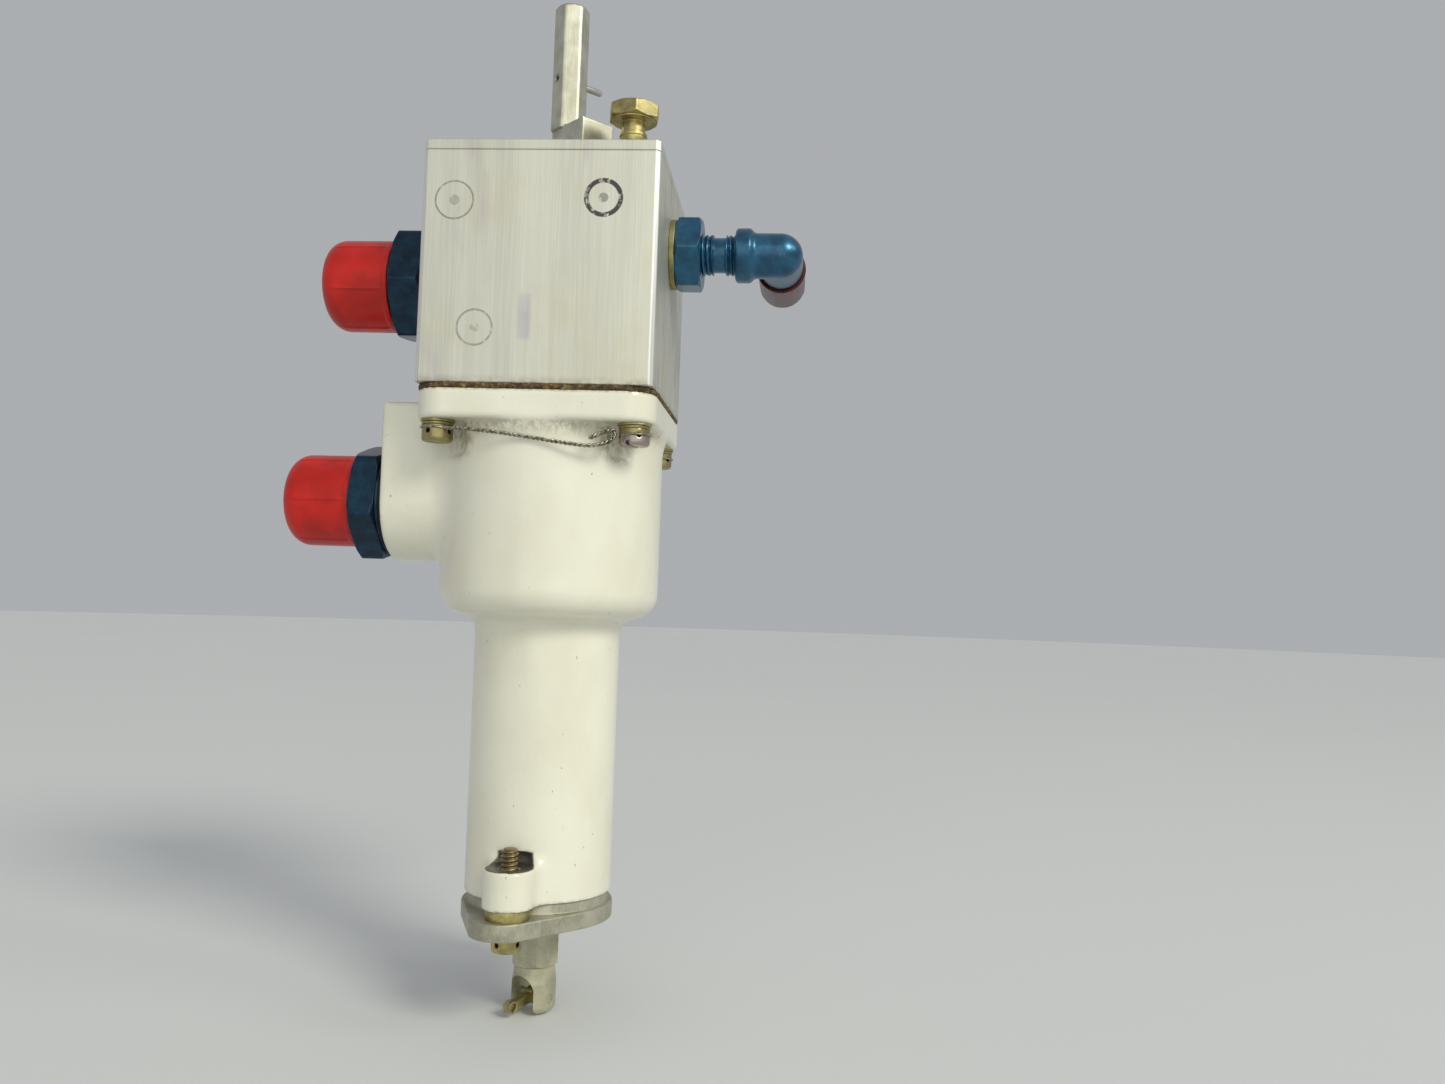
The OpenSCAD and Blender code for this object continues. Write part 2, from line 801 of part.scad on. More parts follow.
// small link with an eye at both ends, held in the fork
module fork_link() {
  thick = 2.2;
  reach = 7.6;
  droop = 8;
  pin_eye_r = 2.1;
  wire_eye_r = 1.45;
  bar_w = 2.2;
  color([0.55, 0.54, 0.30])
  rotate([0, 0, link_turn])
    translate([0, thick / 2, -link_z])
      rotate([90, 0, 0])
        rotate([0, 0, -droop])
        difference() {
          union() {
            cylinder(h = thick, r = pin_eye_r, $fn = 48);
            translate([reach, 0, 0]) cylinder(h = thick, r = wire_eye_r, $fn = 48);
            translate([0, -bar_w / 2, 0]) cube([reach, bar_w, thick]);
          }
          translate([0, 0, -1]) cylinder(h = thick + 2, r = 1.06, $fn = 32);
          translate([reach, 0, -1]) cylinder(h = thick + 2, r = 0.8, $fn = 32);
        }
}

// point of the spring's centre line at share t of its length
function coil_point(t) = [
  spring_mean_r * cos(360 * spring_coils * t),
  spring_mean_r * sin(360 * spring_coils * t),
  -spring_foot + spring_wire_r + (spring_foot - spring_top - 2 * spring_wire_r) * coil_rise(t)
];

// share of the height reached at share t: the end coils lie flat
function coil_rise(t) =
  let (flat = 0.9 / spring_coils)
  t < flat ? t * 0.35
  : t > 1 - flat ? 1 - (1 - t) * 0.35
  : flat * 0.35 + (t - flat) * (1 - 0.7 * flat) / (1 - 2 * flat);

module piston_spring() {
  steps = 22 * spring_coils;
  color([0.45, 0.45, 0.47])
    bar_along([for (i = [0 : steps]) coil_point(i / steps)], spring_wire_r, 10);
}

// ---- end plate -----------------------------------------------------------

module spring_seat() {
  color([0.60, 0.60, 0.58]) tube_z(barrel_bore_r - 0.3, rod_r + 0.5, -spring_foot - 1.5, -spring_foot);
}

// outline of the end plate: a round middle and two lobes joined by straight tangents
module plate_outline() {
  middle_r = 17.85;
  lobe_r = 7.6;
  lobe_x = 3.6;
  lobe_y = 18.6;
  reach = sqrt(lobe_x * lobe_x + lobe_y * lobe_y);
  lean = acos((middle_r - lobe_r) / reach);
  turn = atan2(lobe_y, lobe_x);
  circle(r = middle_r, $fn = 96);
  for (s = [0, 180])
    rotate(turn + s)
      union() {
        translate([reach, 0]) circle(r = lobe_r);
        polygon([
          [middle_r * cos(lean), middle_r * sin(lean)],
          [reach + lobe_r * cos(lean), lobe_r * sin(lean)],
          [reach + lobe_r * cos(lean), -lobe_r * sin(lean)],
          [middle_r * cos(lean), -middle_r * sin(lean)]
        ]);
      }
}

module end_plate() {
  pilot_top = -110;
  color([0.66, 0.65, 0.56])
  difference() {
    union() {
      translate([0, 0, -plate_bottom]) linear_extrude(plate_bottom - plate_top) plate_outline();
      post_z(16.6, -plate_top - eps, -barrel_bottom);
      post_z(barrel_bore_r - 0.04, -plate_top, pilot_top);
    }
    at_lugs() post_z(2.3, -plate_bottom - eps, -plate_top + eps);
    // spigot cut away round the lug spacers
    at_lugs() post_z(5.5, -plate_top, -barrel_bottom + eps);
    // rod bushing, rod seal and seal groove of the pilot
    post_z(7.0, -plate_bottom - eps, -114);
    tube_z(6.75, 1, -113.6, -111.6);
    post_z(rod_r + 0.25, -115, pilot_top + eps);
    tube_z(barrel_bore_r + 1, 11.4, -114.4, -112.4);
  }
}

module end_plate_seal() {
  color([0.08, 0.08, 0.08]) ring_z(12.2, 0.78, -113.4);
}

module rod_bushing() {
  color([0.68, 0.50, 0.25]) tube_z(6.98, rod_r + run_gap, -plate_bottom + 0.1, -114);
}

module rod_seal() {
  color([0.08, 0.08, 0.08]) ring_z(5.74, 0.92, -112.6);
}

module lug_spacers() {
  color([0.74, 0.68, 0.32])
  at_lugs() tube_z(5.1, 2.3, -plate_top, -barrel_bottom);
}

module end_plate_screws() {
  head_h = 3.4;
  color([0.72, 0.66, 0.30])
  at_lugs()
    translate([0, 0, -plate_bottom - head_h])
      fillister(3.4, head_h, screw8_r - 0.02, 19.3);
}

// ---- drawing -------------------------------------------------------------

place() valve_block();
place() cover_plate();
place() cover_screws();
place() cover_seal();
place() gland_bushing();
place() shaft_seal();
place() metering_sleeve();
place() sleeve_seals();
place() sleeve_retaining_ring();
place() flange_gasket();
place() lower_housing();
place() flange_screws();
place() flange_washers();
place() lock_wire_front();
place() lock_wire_rear();
place() upper_union();
place() upper_union_seal();
place() upper_cap();
place() lower_union();
place() lower_union_seal();
place() lower_cap();
place() elbow_fitting();
place() elbow_jam_nut();
place() elbow_washer();
place() elbow_cap();
place() control_post();
place() post_spring_pin();
place() metering_spool();
place() spool_retaining_ring();
place() thrust_washer();
place() stop_bolt();
place() stop_bolt_sleeve();
place() piston();
place() piston_seals();
place() piston_nut();
place() piston_rod();
place() piston_spring();
place() spring_seat();
place() rod_bushing();
place() rod_seal();
place() end_plate();
place() end_plate_seal();
place() end_plate_screws();
place() lug_spacers();
place() fork_link();
place() fork_cross_pin();
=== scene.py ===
import json
import math

import bmesh
import bpy
import numpy as np
from mathutils import Matrix, Vector


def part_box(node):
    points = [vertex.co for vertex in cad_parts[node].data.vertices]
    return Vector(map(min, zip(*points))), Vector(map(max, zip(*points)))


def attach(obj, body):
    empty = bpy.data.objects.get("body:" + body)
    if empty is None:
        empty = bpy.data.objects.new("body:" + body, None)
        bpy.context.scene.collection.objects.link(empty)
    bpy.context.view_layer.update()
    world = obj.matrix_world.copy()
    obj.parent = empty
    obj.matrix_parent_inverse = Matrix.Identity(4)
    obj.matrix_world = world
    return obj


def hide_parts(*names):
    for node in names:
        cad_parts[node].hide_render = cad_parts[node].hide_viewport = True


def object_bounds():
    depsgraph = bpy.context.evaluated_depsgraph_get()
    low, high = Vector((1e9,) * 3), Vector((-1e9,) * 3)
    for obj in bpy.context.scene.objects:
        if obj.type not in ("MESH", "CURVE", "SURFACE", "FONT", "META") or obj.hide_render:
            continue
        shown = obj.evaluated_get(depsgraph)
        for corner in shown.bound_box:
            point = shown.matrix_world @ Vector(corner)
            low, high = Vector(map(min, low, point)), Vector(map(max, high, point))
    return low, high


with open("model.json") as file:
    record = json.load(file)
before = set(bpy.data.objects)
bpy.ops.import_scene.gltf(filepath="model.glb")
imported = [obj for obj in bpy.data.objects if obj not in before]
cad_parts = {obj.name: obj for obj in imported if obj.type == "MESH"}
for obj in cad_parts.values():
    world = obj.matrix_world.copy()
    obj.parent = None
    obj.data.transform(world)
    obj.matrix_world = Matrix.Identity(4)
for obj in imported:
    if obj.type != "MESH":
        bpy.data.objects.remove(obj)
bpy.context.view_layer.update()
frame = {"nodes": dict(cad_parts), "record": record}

# Every length below is in millimetres from the valve's main axis and the block's bottom face;
# set_down() carries it into the shared frame, in metres. A profile is a list of radius, height and,
# where a corner is round, its radius.
MM = 0.001
BLOCK_LOW, BLOCK_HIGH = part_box("valve_block")
AXIS_X = (BLOCK_LOW[0] + BLOCK_HIGH[0]) / 2 / MM
AXIS_Y = (BLOCK_LOW[1] + BLOCK_HIGH[1]) / 2 / MM
BASE_Z = BLOCK_LOW[2] / MM
HALF = (BLOCK_HIGH[0] - BLOCK_LOW[0]) / 2 / MM
ORIGIN = np.array([AXIS_X, AXIS_Y, BASE_Z])

GASKET = 1.35
FLANGE_LOW = -7.95
CHAMBER_R, BARREL_R = 26.2, 17.3
CHAMBER_LOW, BARREL_LOW = -52.0, -116.7
BOSS_X, BOSS_R, BOSS_Z = -38.3, 14.4, -25.3
SCREW_X, SCREW_Y = 22.6, 21.6
LUG = np.array([2.2, 20.0])
LUG_TOP = -108.0
UNION_Z = 28.3
ELBOW_Z = 37.3
ELBOW_X, ELBOW_R, ELBOW_THREAD_R = 53.6, 5.45, 4.93
STOP = (18.3, -12.0)
PIN_Z = 80.5
POST_TOP = 99
UNION_ACROSS, NUT_ACROSS, BOLT_ACROSS = 25.4, 16.4, 11.1
CORNER_OUT = 1 / math.sqrt(3)


# ---- shapes ----


def set_down(points):
    """Points in mm about the main axis become metres in the shared frame: origin added, times 0.001."""
    return (np.asarray(points, float) + ORIGIN) * MM


def rounded(corners, steps=6, longest=1e9):
    """A line through corners (r, z, radius): each corner is a circular arc of its radius, as far as its two
    sides allow, and a straight side is cut into lengths no longer than longest."""
    corners = [tuple(c) + (0,) * (3 - len(c)) for c in corners]
    line = []
    for i, (r, z, bend) in enumerate(corners):
        here = np.array([r, z])
        if bend and 0 < i < len(corners) - 1:
            back, ahead = np.array(corners[i - 1][:2]) - here, np.array(corners[i + 1][:2]) - here
            back, ahead = back / np.linalg.norm(back), ahead / np.linalg.norm(ahead)
            half = math.acos(np.clip(back @ ahead, -1, 1)) / 2
            reach = bend / math.tan(half)
            middle = here + (back + ahead) / np.linalg.norm(back + ahead) * bend / math.sin(half)
            first, last = here + back * reach - middle, here + ahead * reach - middle
            t = np.linspace(0, 1, steps)[:, None]
            mixed = first * (1 - t) + last * t
            arc = middle + mixed / np.linalg.norm(mixed, axis=1)[:, None] * bend
        else:
            arc = here[None]
        if line:
            gap = np.linalg.norm(arc[0] - line[-1])
            n = int(min(gap / longest, 400))
            if n:
                t = np.linspace(0, 1, n + 2)[1:-1, None]
                line.extend(line[-1] * (1 - t) + arc[0] * t)
        line.extend(arc)
    return np.array(line)


def grid_faces(rows, cols, close_rows):
    """Quads of a rows by cols grid whose columns wrap round, and whose rows wrap too if close_rows."""
    i = np.arange(rows if close_rows else rows - 1)[:, None]
    j = np.arange(cols)[None]
    a = i * cols + j
    b = i * cols + (j + 1) % cols
    c = ((i + 1) % rows) * cols + (j + 1) % cols
    d = ((i + 1) % rows) * cols + j
    return np.stack([a, b, c, d], -1).reshape(-1, 4)


def hexagon_factor(angle):
    """How much farther than its flats a slightly rounded hexagon reaches at an angle: one over the
    50th-power sum of the six flats' cosines."""
    flats = np.cos(angle[..., None] - np.arange(6) * math.pi / 3).clip(0)
    return (flats**50).sum(-1) ** (-1 / 50)


def turned(
    line, steps=96, across=None, hex_from=0.0, hex_to=0.0, turn=0.0, thread=(), pitch=1.0, cut=0.6,
    ribs=None,
):
    """A line (r, z) carried round the upright axis. Between hex_from and hex_to the radius is no more than a
    hexagon of that size across its flats. Inside each (low, high) of thread a helical groove of depth cut
    is taken off: a rounded triangle wave of z / pitch minus the turn's share. ribs(angle, r, z) adds to r."""
    line = np.asarray(line, float)
    if across:
        share = np.linspace(-1, 1, steps // 6 + 1)[:-1]
        sector = np.sign(share) * (1 - (1 - abs(share)) ** 1.6) * math.pi / 6
        angle = (np.arange(6)[:, None] * math.pi / 3 + sector[None]).ravel()
    else:
        angle = np.arange(steps) * 2 * math.pi / steps
    r = np.repeat(line[:, :1], len(angle), 1)
    z = np.repeat(line[:, 1:2], len(angle), 1)
    if across:
        limit = across / 2 * hexagon_factor(angle)[None]
        inside = (z >= hex_from) & (z <= hex_to)
        r = np.where(inside, np.minimum(r, limit), r)
    for low, high in thread:
        wave = abs(((z / pitch - angle[None] / (2 * math.pi)) % 1) * 2 - 1)
        fade = np.clip((z - low) / (0.5 * pitch), 0, 1) * np.clip((high - z) / (0.5 * pitch), 0, 1)
        r = r - cut * (wave**1.3) * np.where((z > low) & (z < high), fade, 0)
    if ribs is not None:
        r = r + ribs(angle[None], r, z)
    points = np.stack([r * np.cos(angle + turn), r * np.sin(angle + turn), z], -1).reshape(-1, 3)
    return points, grid_faces(len(line), len(angle), close_rows=line[0, 0] > 1e-6)


def laid(shape, x, y, z, toward):
    """An upright shape laid along "+x", "-x" or "+y" by swapping its coordinates, and moved to (x, y, z)."""
    a, b, c = shape[0].T
    swapped = {"+x": (c, b, -a), "-x": (-c, b, a), "+y": (a, c, -b)}[toward]
    return np.stack(swapped, -1) + np.array([x, y, z]), shape[1]


def spun(shape, degrees, x=0.0, y=0.0):
    """A shape turned about the upright axis and then moved sideways."""
    points, faces = shape
    a = math.radians(degrees)
    spin = np.array([[math.cos(a), -math.sin(a), 0], [math.sin(a), math.cos(a), 0], [0, 0, 1]])
    return points @ spin.T + np.array([x, y, 0]), faces


def smooth_line(points, steps):
    """Catmull-Rom line through points: each span's cubic at steps even shares."""
    p = np.asarray(points, float)
    p = np.vstack([2 * p[0] - p[1], p, 2 * p[-1] - p[-2]])
    a, b, c, d = p[:-3, None], p[1:-2, None], p[2:-1, None], p[3:, None]
    t = (np.arange(steps) / steps)[None, :, None]
    spans = 0.5 * (2 * b + (c - a) * t + (2 * a - 5 * b + 4 * c - d) * t**2 + (3 * b - a - 3 * c + d) * t**3)
    return np.vstack([spans.reshape(-1, 3), p[-2]])


def across_path(path):
    """Two directions at each point of a path: ahead cross up, which is level, and that cross ahead."""
    ahead = np.gradient(path, axis=0)
    ahead /= np.linalg.norm(ahead, axis=1)[:, None]
    side = np.cross(ahead, [0, 0, 1.0])
    side /= np.linalg.norm(side, axis=1)[:, None]
    return side, np.cross(side, ahead)


def swept(path, section):
    """A closed outline (u, v) carried along a path: u along the path's sideways direction, v square to it.
    Both ends are closed by drawing the outline in to its middle."""
    side, up = across_path(path)
    rings = path[:, None] + section[None, :, :1] * side[:, None] + section[None, :, 1:] * up[:, None]
    middles = path[:, None].repeat(len(section), 1)
    points = np.concatenate([middles[:1], rings, middles[-1:]])
    return points.reshape(-1, 3), grid_faces(len(path) + 2, len(section), False)


def circle_section(r):
    """A round outline of eight points."""
    a = np.arange(8) * 2 * math.pi / 8
    return np.stack([r * np.cos(a), r * np.sin(a)], -1)


def twisted_pair(path, strand_r, offset, turn_length):
    """Two strands wound round a path: each centre line stands off by offset at an angle of 2 pi times the
    length so far over turn_length, the second strand half a turn on."""
    length = np.concatenate([[0], np.cumsum(np.linalg.norm(np.diff(path, axis=0), axis=1))])
    side, up = across_path(path)
    angle = 2 * math.pi * length / turn_length
    shapes = []
    for start in (0, math.pi):
        line = path + offset * (np.cos(angle + start)[:, None] * side + np.sin(angle + start)[:, None] * up)
        shapes.append(swept(line, circle_section(strand_r)))
    return shapes


# ---- solid fields: negative inside, in mm ----


def join(a, b, k):
    """Smooth union: the lesser of two fields, rounded over a distance k."""
    h = np.clip(0.5 + 0.5 * (b - a) / k, 0, 1)
    return b * (1 - h) + a * h - k * h * (1 - h)


def cut_off(a, b, k):
    """Field a without field b, its new edges rounded over a distance k."""
    return -join(-a, b, k)


def slab(c, low, high):
    """Field between two heights along one coordinate."""
    return np.maximum(low - c, c - high)


def rounded_join(a, b, r):
    """Both of two fields, as length(max(a + r, 0), max(b + r, 0)) - r: an edge of radius r."""
    p, q = np.maximum(a + r, 0), np.maximum(b + r, 0)
    return np.minimum(np.maximum(a + r, b + r), 0) + np.sqrt(p * p + q * q) - r


def rod_field(u, v, w, r, low, high, edge):
    """Round rod of radius r about (u, v) = 0 between two heights of w, with rounded ends."""
    return rounded_join(np.sqrt(u * u + v * v) - r, slab(w, low, high), edge)


def flat_box(u, v, half_u, half_v, corner):
    """Outline of a box in two coordinates with round corners."""
    a, b = abs(u) - half_u + corner, abs(v) - half_v + corner
    outside = np.sqrt(np.maximum(a, 0) ** 2 + np.maximum(b, 0) ** 2)
    return outside + np.minimum(np.maximum(a, b), 0) - corner


def skin(field, low, high, cell):
    """Closed skin where a field is zero. The box is cut into cells; each cell with corners on both sides gets
    one vertex, the mean of the zero points along its edges, which is then moved onto the field's zero by
    its slope; every grid edge that changes sign gets a quad between its four cells."""
    low, high = np.array(low, float), np.array(high, float)
    count = np.ceil((high - low) / cell).astype(int) + 1
    axes = [low[i] + cell * np.arange(count[i]) for i in range(3)]
    value = field(axes[0][:, None, None], axes[1][None, :, None], axes[2][None, None, :]).astype(np.float32)
    inside = value < 0
    shape = [n - 1 for n in count]
    total = np.zeros(shape + [3], np.float32)
    hits = np.zeros(shape, np.int16)
    corner = np.array([[i, j, k] for i in (0, 1) for j in (0, 1) for k in (0, 1)])

    def part(grid, c):
        return grid[c[0]:c[0] + shape[0], c[1]:c[1] + shape[1], c[2]:c[2] + shape[2]]

    for axis in range(3):
        for c in corner[corner[:, axis] == 0]:
            d = c.copy()
            d[axis] = 1
            crosses = part(inside, c) != part(inside, d)
            a, b = part(value, c), part(value, d)
            share = np.where(crosses, a / np.where(crosses, a - b, 1), 0)
            for m in range(3):
                total[..., m] += np.where(crosses, c[m] + (share if m == axis else 0), 0)
            hits += crosses
    used = hits > 0
    index = np.full(shape, -1, np.int64)
    index[used] = np.arange(used.sum())
    points = low + cell * (np.argwhere(used) + total[used] / hits[used][:, None])
    faces = []
    for axis in range(3):
        p, q = (axis + 1) % 3, (axis + 2) % 3
        here = [slice(None)] * 3
        here[axis], here[p], here[q] = slice(0, shape[axis]), slice(1, shape[p]), slice(1, shape[q])
        step = list(here)
        step[axis] = slice(1, shape[axis] + 1)
        a, b = inside[tuple(here)], inside[tuple(step)]
        start = np.argwhere(a != b)
        leaving = a[tuple(start.T)]
        start = start + np.array([0 if m == axis else 1 for m in range(3)])
        quad = []
        for dp, dq in ((-1, -1), (0, -1), (0, 0), (-1, 0)):
            at = start.copy()
            at[:, p] += dp
            at[:, q] += dq
            quad.append(index[tuple(at.T)])
        quad = np.stack(quad, -1)
        quad[~leaving] = quad[~leaving][:, ::-1]
        faces.append(quad)
    faces = np.concatenate(faces)
    for _ in range(3):
        h = cell * 0.05
        f = field(*points.T)
        steps = np.eye(3) * h
        slope = np.stack([(field(*(points + s).T) - field(*(points - s).T)) / (2 * h) for s in steps], -1)
        move = (f / np.maximum((slope**2).sum(-1), 0.2))[:, None] * slope
        length = np.linalg.norm(move, axis=1)[:, None]
        points = points - move * np.minimum(1, 0.35 * cell / np.maximum(length, 1e-9))
    return points, faces


# ---- pieces ----


def piece(name, shapes, body, slot, nodes, crease):
    """One mesh object out of closed shapes in mm, with its slot's finish. Equal points are merged, faces are
    turned outward, and edges steeper than crease degrees stay sharp. It rides on a body and stands for
    CAD nodes."""
    if isinstance(shapes, tuple):
        shapes = [shapes]
    mesh = bpy.data.meshes.new(name)
    points, faces, start = [], [], 0
    for p, f in shapes:
        points.append(set_down(p))
        faces.append(f + start)
        start += len(p)
    mesh.from_pydata(np.concatenate(points).tolist(), [], np.concatenate(faces).tolist())
    work = bmesh.new()
    work.from_mesh(mesh)
    bmesh.ops.remove_doubles(work, verts=work.verts, dist=1e-7)
    bmesh.ops.dissolve_degenerate(work, edges=work.edges, dist=1e-8)
    bmesh.ops.recalc_face_normals(work, faces=work.faces)
    work.to_mesh(mesh)
    work.free()
    mesh.shade_smooth()
    mesh.set_sharp_from_angle(angle=math.radians(crease))
    made = bpy.data.objects.new(name, mesh)
    bpy.context.collection.objects.link(made)
    mesh.materials.append(finishes[slot])
    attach(made, body)
    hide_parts(*nodes)


def soften(node, width):
    """Rounds a machined CAD node's sharp edges by width in mm: its triangles are welded, flat areas made
    one face, and edges steeper than 35 degrees bevelled."""
    part = frame["nodes"][node]
    part.modifiers.new("weld", "WELD").merge_threshold = 1e-6
    flat = part.modifiers.new("flat", "DECIMATE")
    flat.decimate_type, flat.angle_limit = "DISSOLVE", math.radians(0.5)
    edge = part.modifiers.new("edge", "BEVEL")
    edge.width, edge.segments = width * MM, 2
    edge.limit_method, edge.angle_limit = "ANGLE", math.radians(35)
    edge.use_clamp_overlap = False


# ---- finishes ----


class Signal:
    """A number, colour or vector on its way through a finish. Arithmetic on it adds Math nodes."""

    def __init__(self, finish, socket):
        self.finish, self.socket = finish, socket

    def math(self, operation, a, b=0.0):
        return self.finish.node("ShaderNodeMath", {"operation": operation}, {0: a, 1: b})

    def __add__(self, other):
        return self.math("ADD", self, other)

    def __sub__(self, other):
        return self.math("SUBTRACT", self, other)

    def __rsub__(self, other):
        return self.math("SUBTRACT", other, self)

    def __mul__(self, other):
        return self.math("MULTIPLY", self, other)

    def __abs__(self):
        return self.math("ABSOLUTE", self)

    __radd__, __rmul__ = __add__, __mul__

    def least(self, other):
        return self.math("MINIMUM", self, other)

    def most(self, other):
        return self.math("MAXIMUM", self, other)


class Finish:
    """A material on a Principled shader, built from positions in mm about the main axis."""

    def __init__(self, name, **constants):
        self.material = bpy.data.materials.new(name)
        self.material.use_nodes = True
        self.tree = self.material.node_tree
        self.shader = self.tree.nodes["Principled BSDF"]
        for key, value in constants.items():
            self.shader.inputs[key.replace("_", " ").title().replace("Ior", "IOR")].default_value = value
        point = self.node("ShaderNodeTexCoord", {}, {}, "Object")
        self.place = self.node(
            "ShaderNodeMapping", {"vector_type": "POINT"},
            {"Vector": point, "Location": tuple(-ORIGIN), "Scale": (1 / MM,) * 3}, 0,
        )
        axes = [self.node("ShaderNodeSeparateXYZ", {}, {0: self.place}, i) for i in range(3)]
        self.x, self.y, self.z = axes

    def node(self, kind, settings, sockets, out=0):
        """Adds a node: first its settings (stops are a ramp's), then its sockets' values or links."""
        made = self.tree.nodes.new(kind)
        for key, value in settings.items():
            if key == "stops":
                ramp = made.color_ramp
                for i, (at, colour) in enumerate(value):
                    stop = ramp.elements[i] if i < 2 else ramp.elements.new(at)
                    stop.position, stop.color = at, tuple(colour) + (1,)
            else:
                setattr(made, key, value)
        for key, value in sockets.items():
            if isinstance(value, Signal):
                self.tree.links.new(value.socket, made.inputs[key])
            else:
                made.inputs[key].default_value = value
        return Signal(self, made.outputs[out])

    def noise(self, scale, detail=3.0, roughness=0.5, stretch=(1, 1, 1), shift=(0, 0, 0)):
        """Noise of about 0 to 1 with scale features per mm, stretched along the axes."""
        spot = self.node(
            "ShaderNodeMapping", {"vector_type": "POINT"},
            {"Vector": self.place, "Scale": tuple(stretch), "Location": tuple(shift)},
        )
        return self.node(
            "ShaderNodeTexNoise", {},
            {"Vector": spot, "Scale": scale, "Detail": detail, "Roughness": roughness},
        )

    def rise(self, value, low, high):
        """Smooth step of value: 0 at low and 1 at high, either way round."""
        smooth = {"interpolation_type": "SMOOTHSTEP"}
        return self.node("ShaderNodeMapRange", smooth, {0: value, 1: low, 2: high, 3: 0.0, 4: 1.0})

    def mix(self, share, a, b):
        """Colour a, with colour b in its share."""
        a, b = [c if isinstance(c, Signal) else tuple(c) + (1,) for c in (a, b)]
        return self.node("ShaderNodeMix", {"data_type": "RGBA"}, {0: share, 6: a, 7: b}, 2)

    def ramp(self, value, *stops):
        """Colours along a value, at (position, colour) stops."""
        return self.node("ShaderNodeValToRGB", {"stops": stops}, {0: value})

    def gap(self, x, y, z, place=None):
        """Distance in mm from a point, of the surface or of a place given."""
        ends = {0: place or self.place, 1: (x, y, z)}
        return self.node("ShaderNodeVectorMath", {"operation": "DISTANCE"}, ends, 1)

    def near(self, x, y, z, full, none):
        """1 within full mm of a point, 0 beyond none mm."""
        return self.rise(self.gap(x, y, z), none, full)

    def set(self, socket, value):
        """Links or sets one of the shader's own sockets."""
        if isinstance(value, Signal):
            self.tree.links.new(value.socket, self.shader.inputs[socket])
        else:
            self.shader.inputs[socket].default_value = value

    def finished(self, colour, rough, height, depth):
        """The material, with its colour, its roughness and a bump of height (0 to 1) times depth in mm."""
        bump = self.node("ShaderNodeBump", {}, {"Strength": 1.0, "Distance": depth * MM, "Height": height})
        for socket, value in (("Base Color", colour), ("Roughness", rough), ("Normal", bump)):
            self.set(socket, value)
        return self.material


def brushed_block(name, tone, rings=()):
    """Linished aluminium: fine upright grain, broad pale and dark streaks, faint yellow and violet stains,
    bright rubbed corner chamfers, and worn ink rings without letters, each given by its middle's x and z,
    radius, line width and darkness."""
    f = Finish(name, metallic=0.88, roughness=0.4)
    grain = f.noise(4.5, 2, 0.6, (1, 1, 0.012))
    fine = f.noise(11, 1, 0.5, (1, 1, 0.03), (3, 1, 2))
    bands = f.noise(0.22, 2, 0.5, (1, 1, 0.05), (7, 2, 5))
    cloud = f.noise(0.06, 4, 0.6, (1, 1, 0.7), (2, 9, 4))
    stain = f.rise(f.noise(0.09, 3, 0.55, (1, 1, 0.35), (31, 4, 8)), 0.54, 0.72)
    colour = f.mix(f.rise(bands, 0.35, 0.68), [t * 0.9 for t in tone], tone)
    colour = f.mix(f.rise(grain, 0.38, 0.66) * 0.4, colour, [min(1, t * 1.2) for t in tone])
    red, green, blue = tone
    colour = f.mix(f.rise(cloud, 0.5, 0.75) * 0.35, colour, (red * 0.95, green * 0.86, blue * 0.6))
    colour = f.mix(stain * 0.35, colour, (red * 0.72, green * 0.62, blue * 0.78))
    front = f.rise(f.y, 1 - HALF, 0.2 - HALF)
    violet = f.rise(abs(f.x + 2.4), 2.0, 0.9) * f.rise(abs(f.z - 15.0), 5.8, 4.4) * front
    colour = f.mix(violet * f.rise(cloud, 0.3, 0.6) * 0.45, colour, (0.42, 0.38, 0.5))
    low_grime = f.rise(f.z, 2.2, 0.0) * f.rise(f.noise(0.5, 3, 0.6), 0.3, 0.65)
    colour = f.mix(low_grime * 0.5, colour, (0.28, 0.23, 0.14))
    # painted shade: the block's right face is darkened in noisy blotches
    right_shade_blotches = f.rise(f.noise(0.3, 5, 0.7, (1, 1, 0.25), (5, 5, 5)), 0.48, 0.72)
    right_side = f.rise(f.x, HALF - 0.3, HALF - 0.05)
    colour = f.mix(right_side * right_shade_blotches * 0.3, colour, (0.16, 0.15, 0.14))
    corner = f.rise(abs(f.x) + abs(f.y), 2 * HALF - 1.05, 2 * HALF - 0.95)
    colour = f.mix(corner * 0.8, colour, (0.93, 0.93, 0.9))
    rough = 0.3 + 0.22 * grain + 0.12 * cloud - 0.14 * corner
    for x, z, r, width, ink in rings:
        flat = f.node("ShaderNodeCombineXYZ", {}, {0: f.x, 1: f.z, 2: 0.0})
        gap = f.gap(x, z, 0, flat)
        ring = f.rise(abs(gap - r), width * 1.5, width) * front
        worn = f.rise(f.noise(0.9, 3, 0.6, (1, 1, 1), (x, 0, z)), 0.3, 0.5)
        dot = f.rise(gap, r * 0.3, r * 0.26) * front * (0.55 * ink)
        colour = f.mix((ring * worn * ink).most(dot * worn), colour, (0.035, 0.03, 0.035))
    return f.finished(colour, rough, grain * 0.7 + fine * 0.3, 0.012)


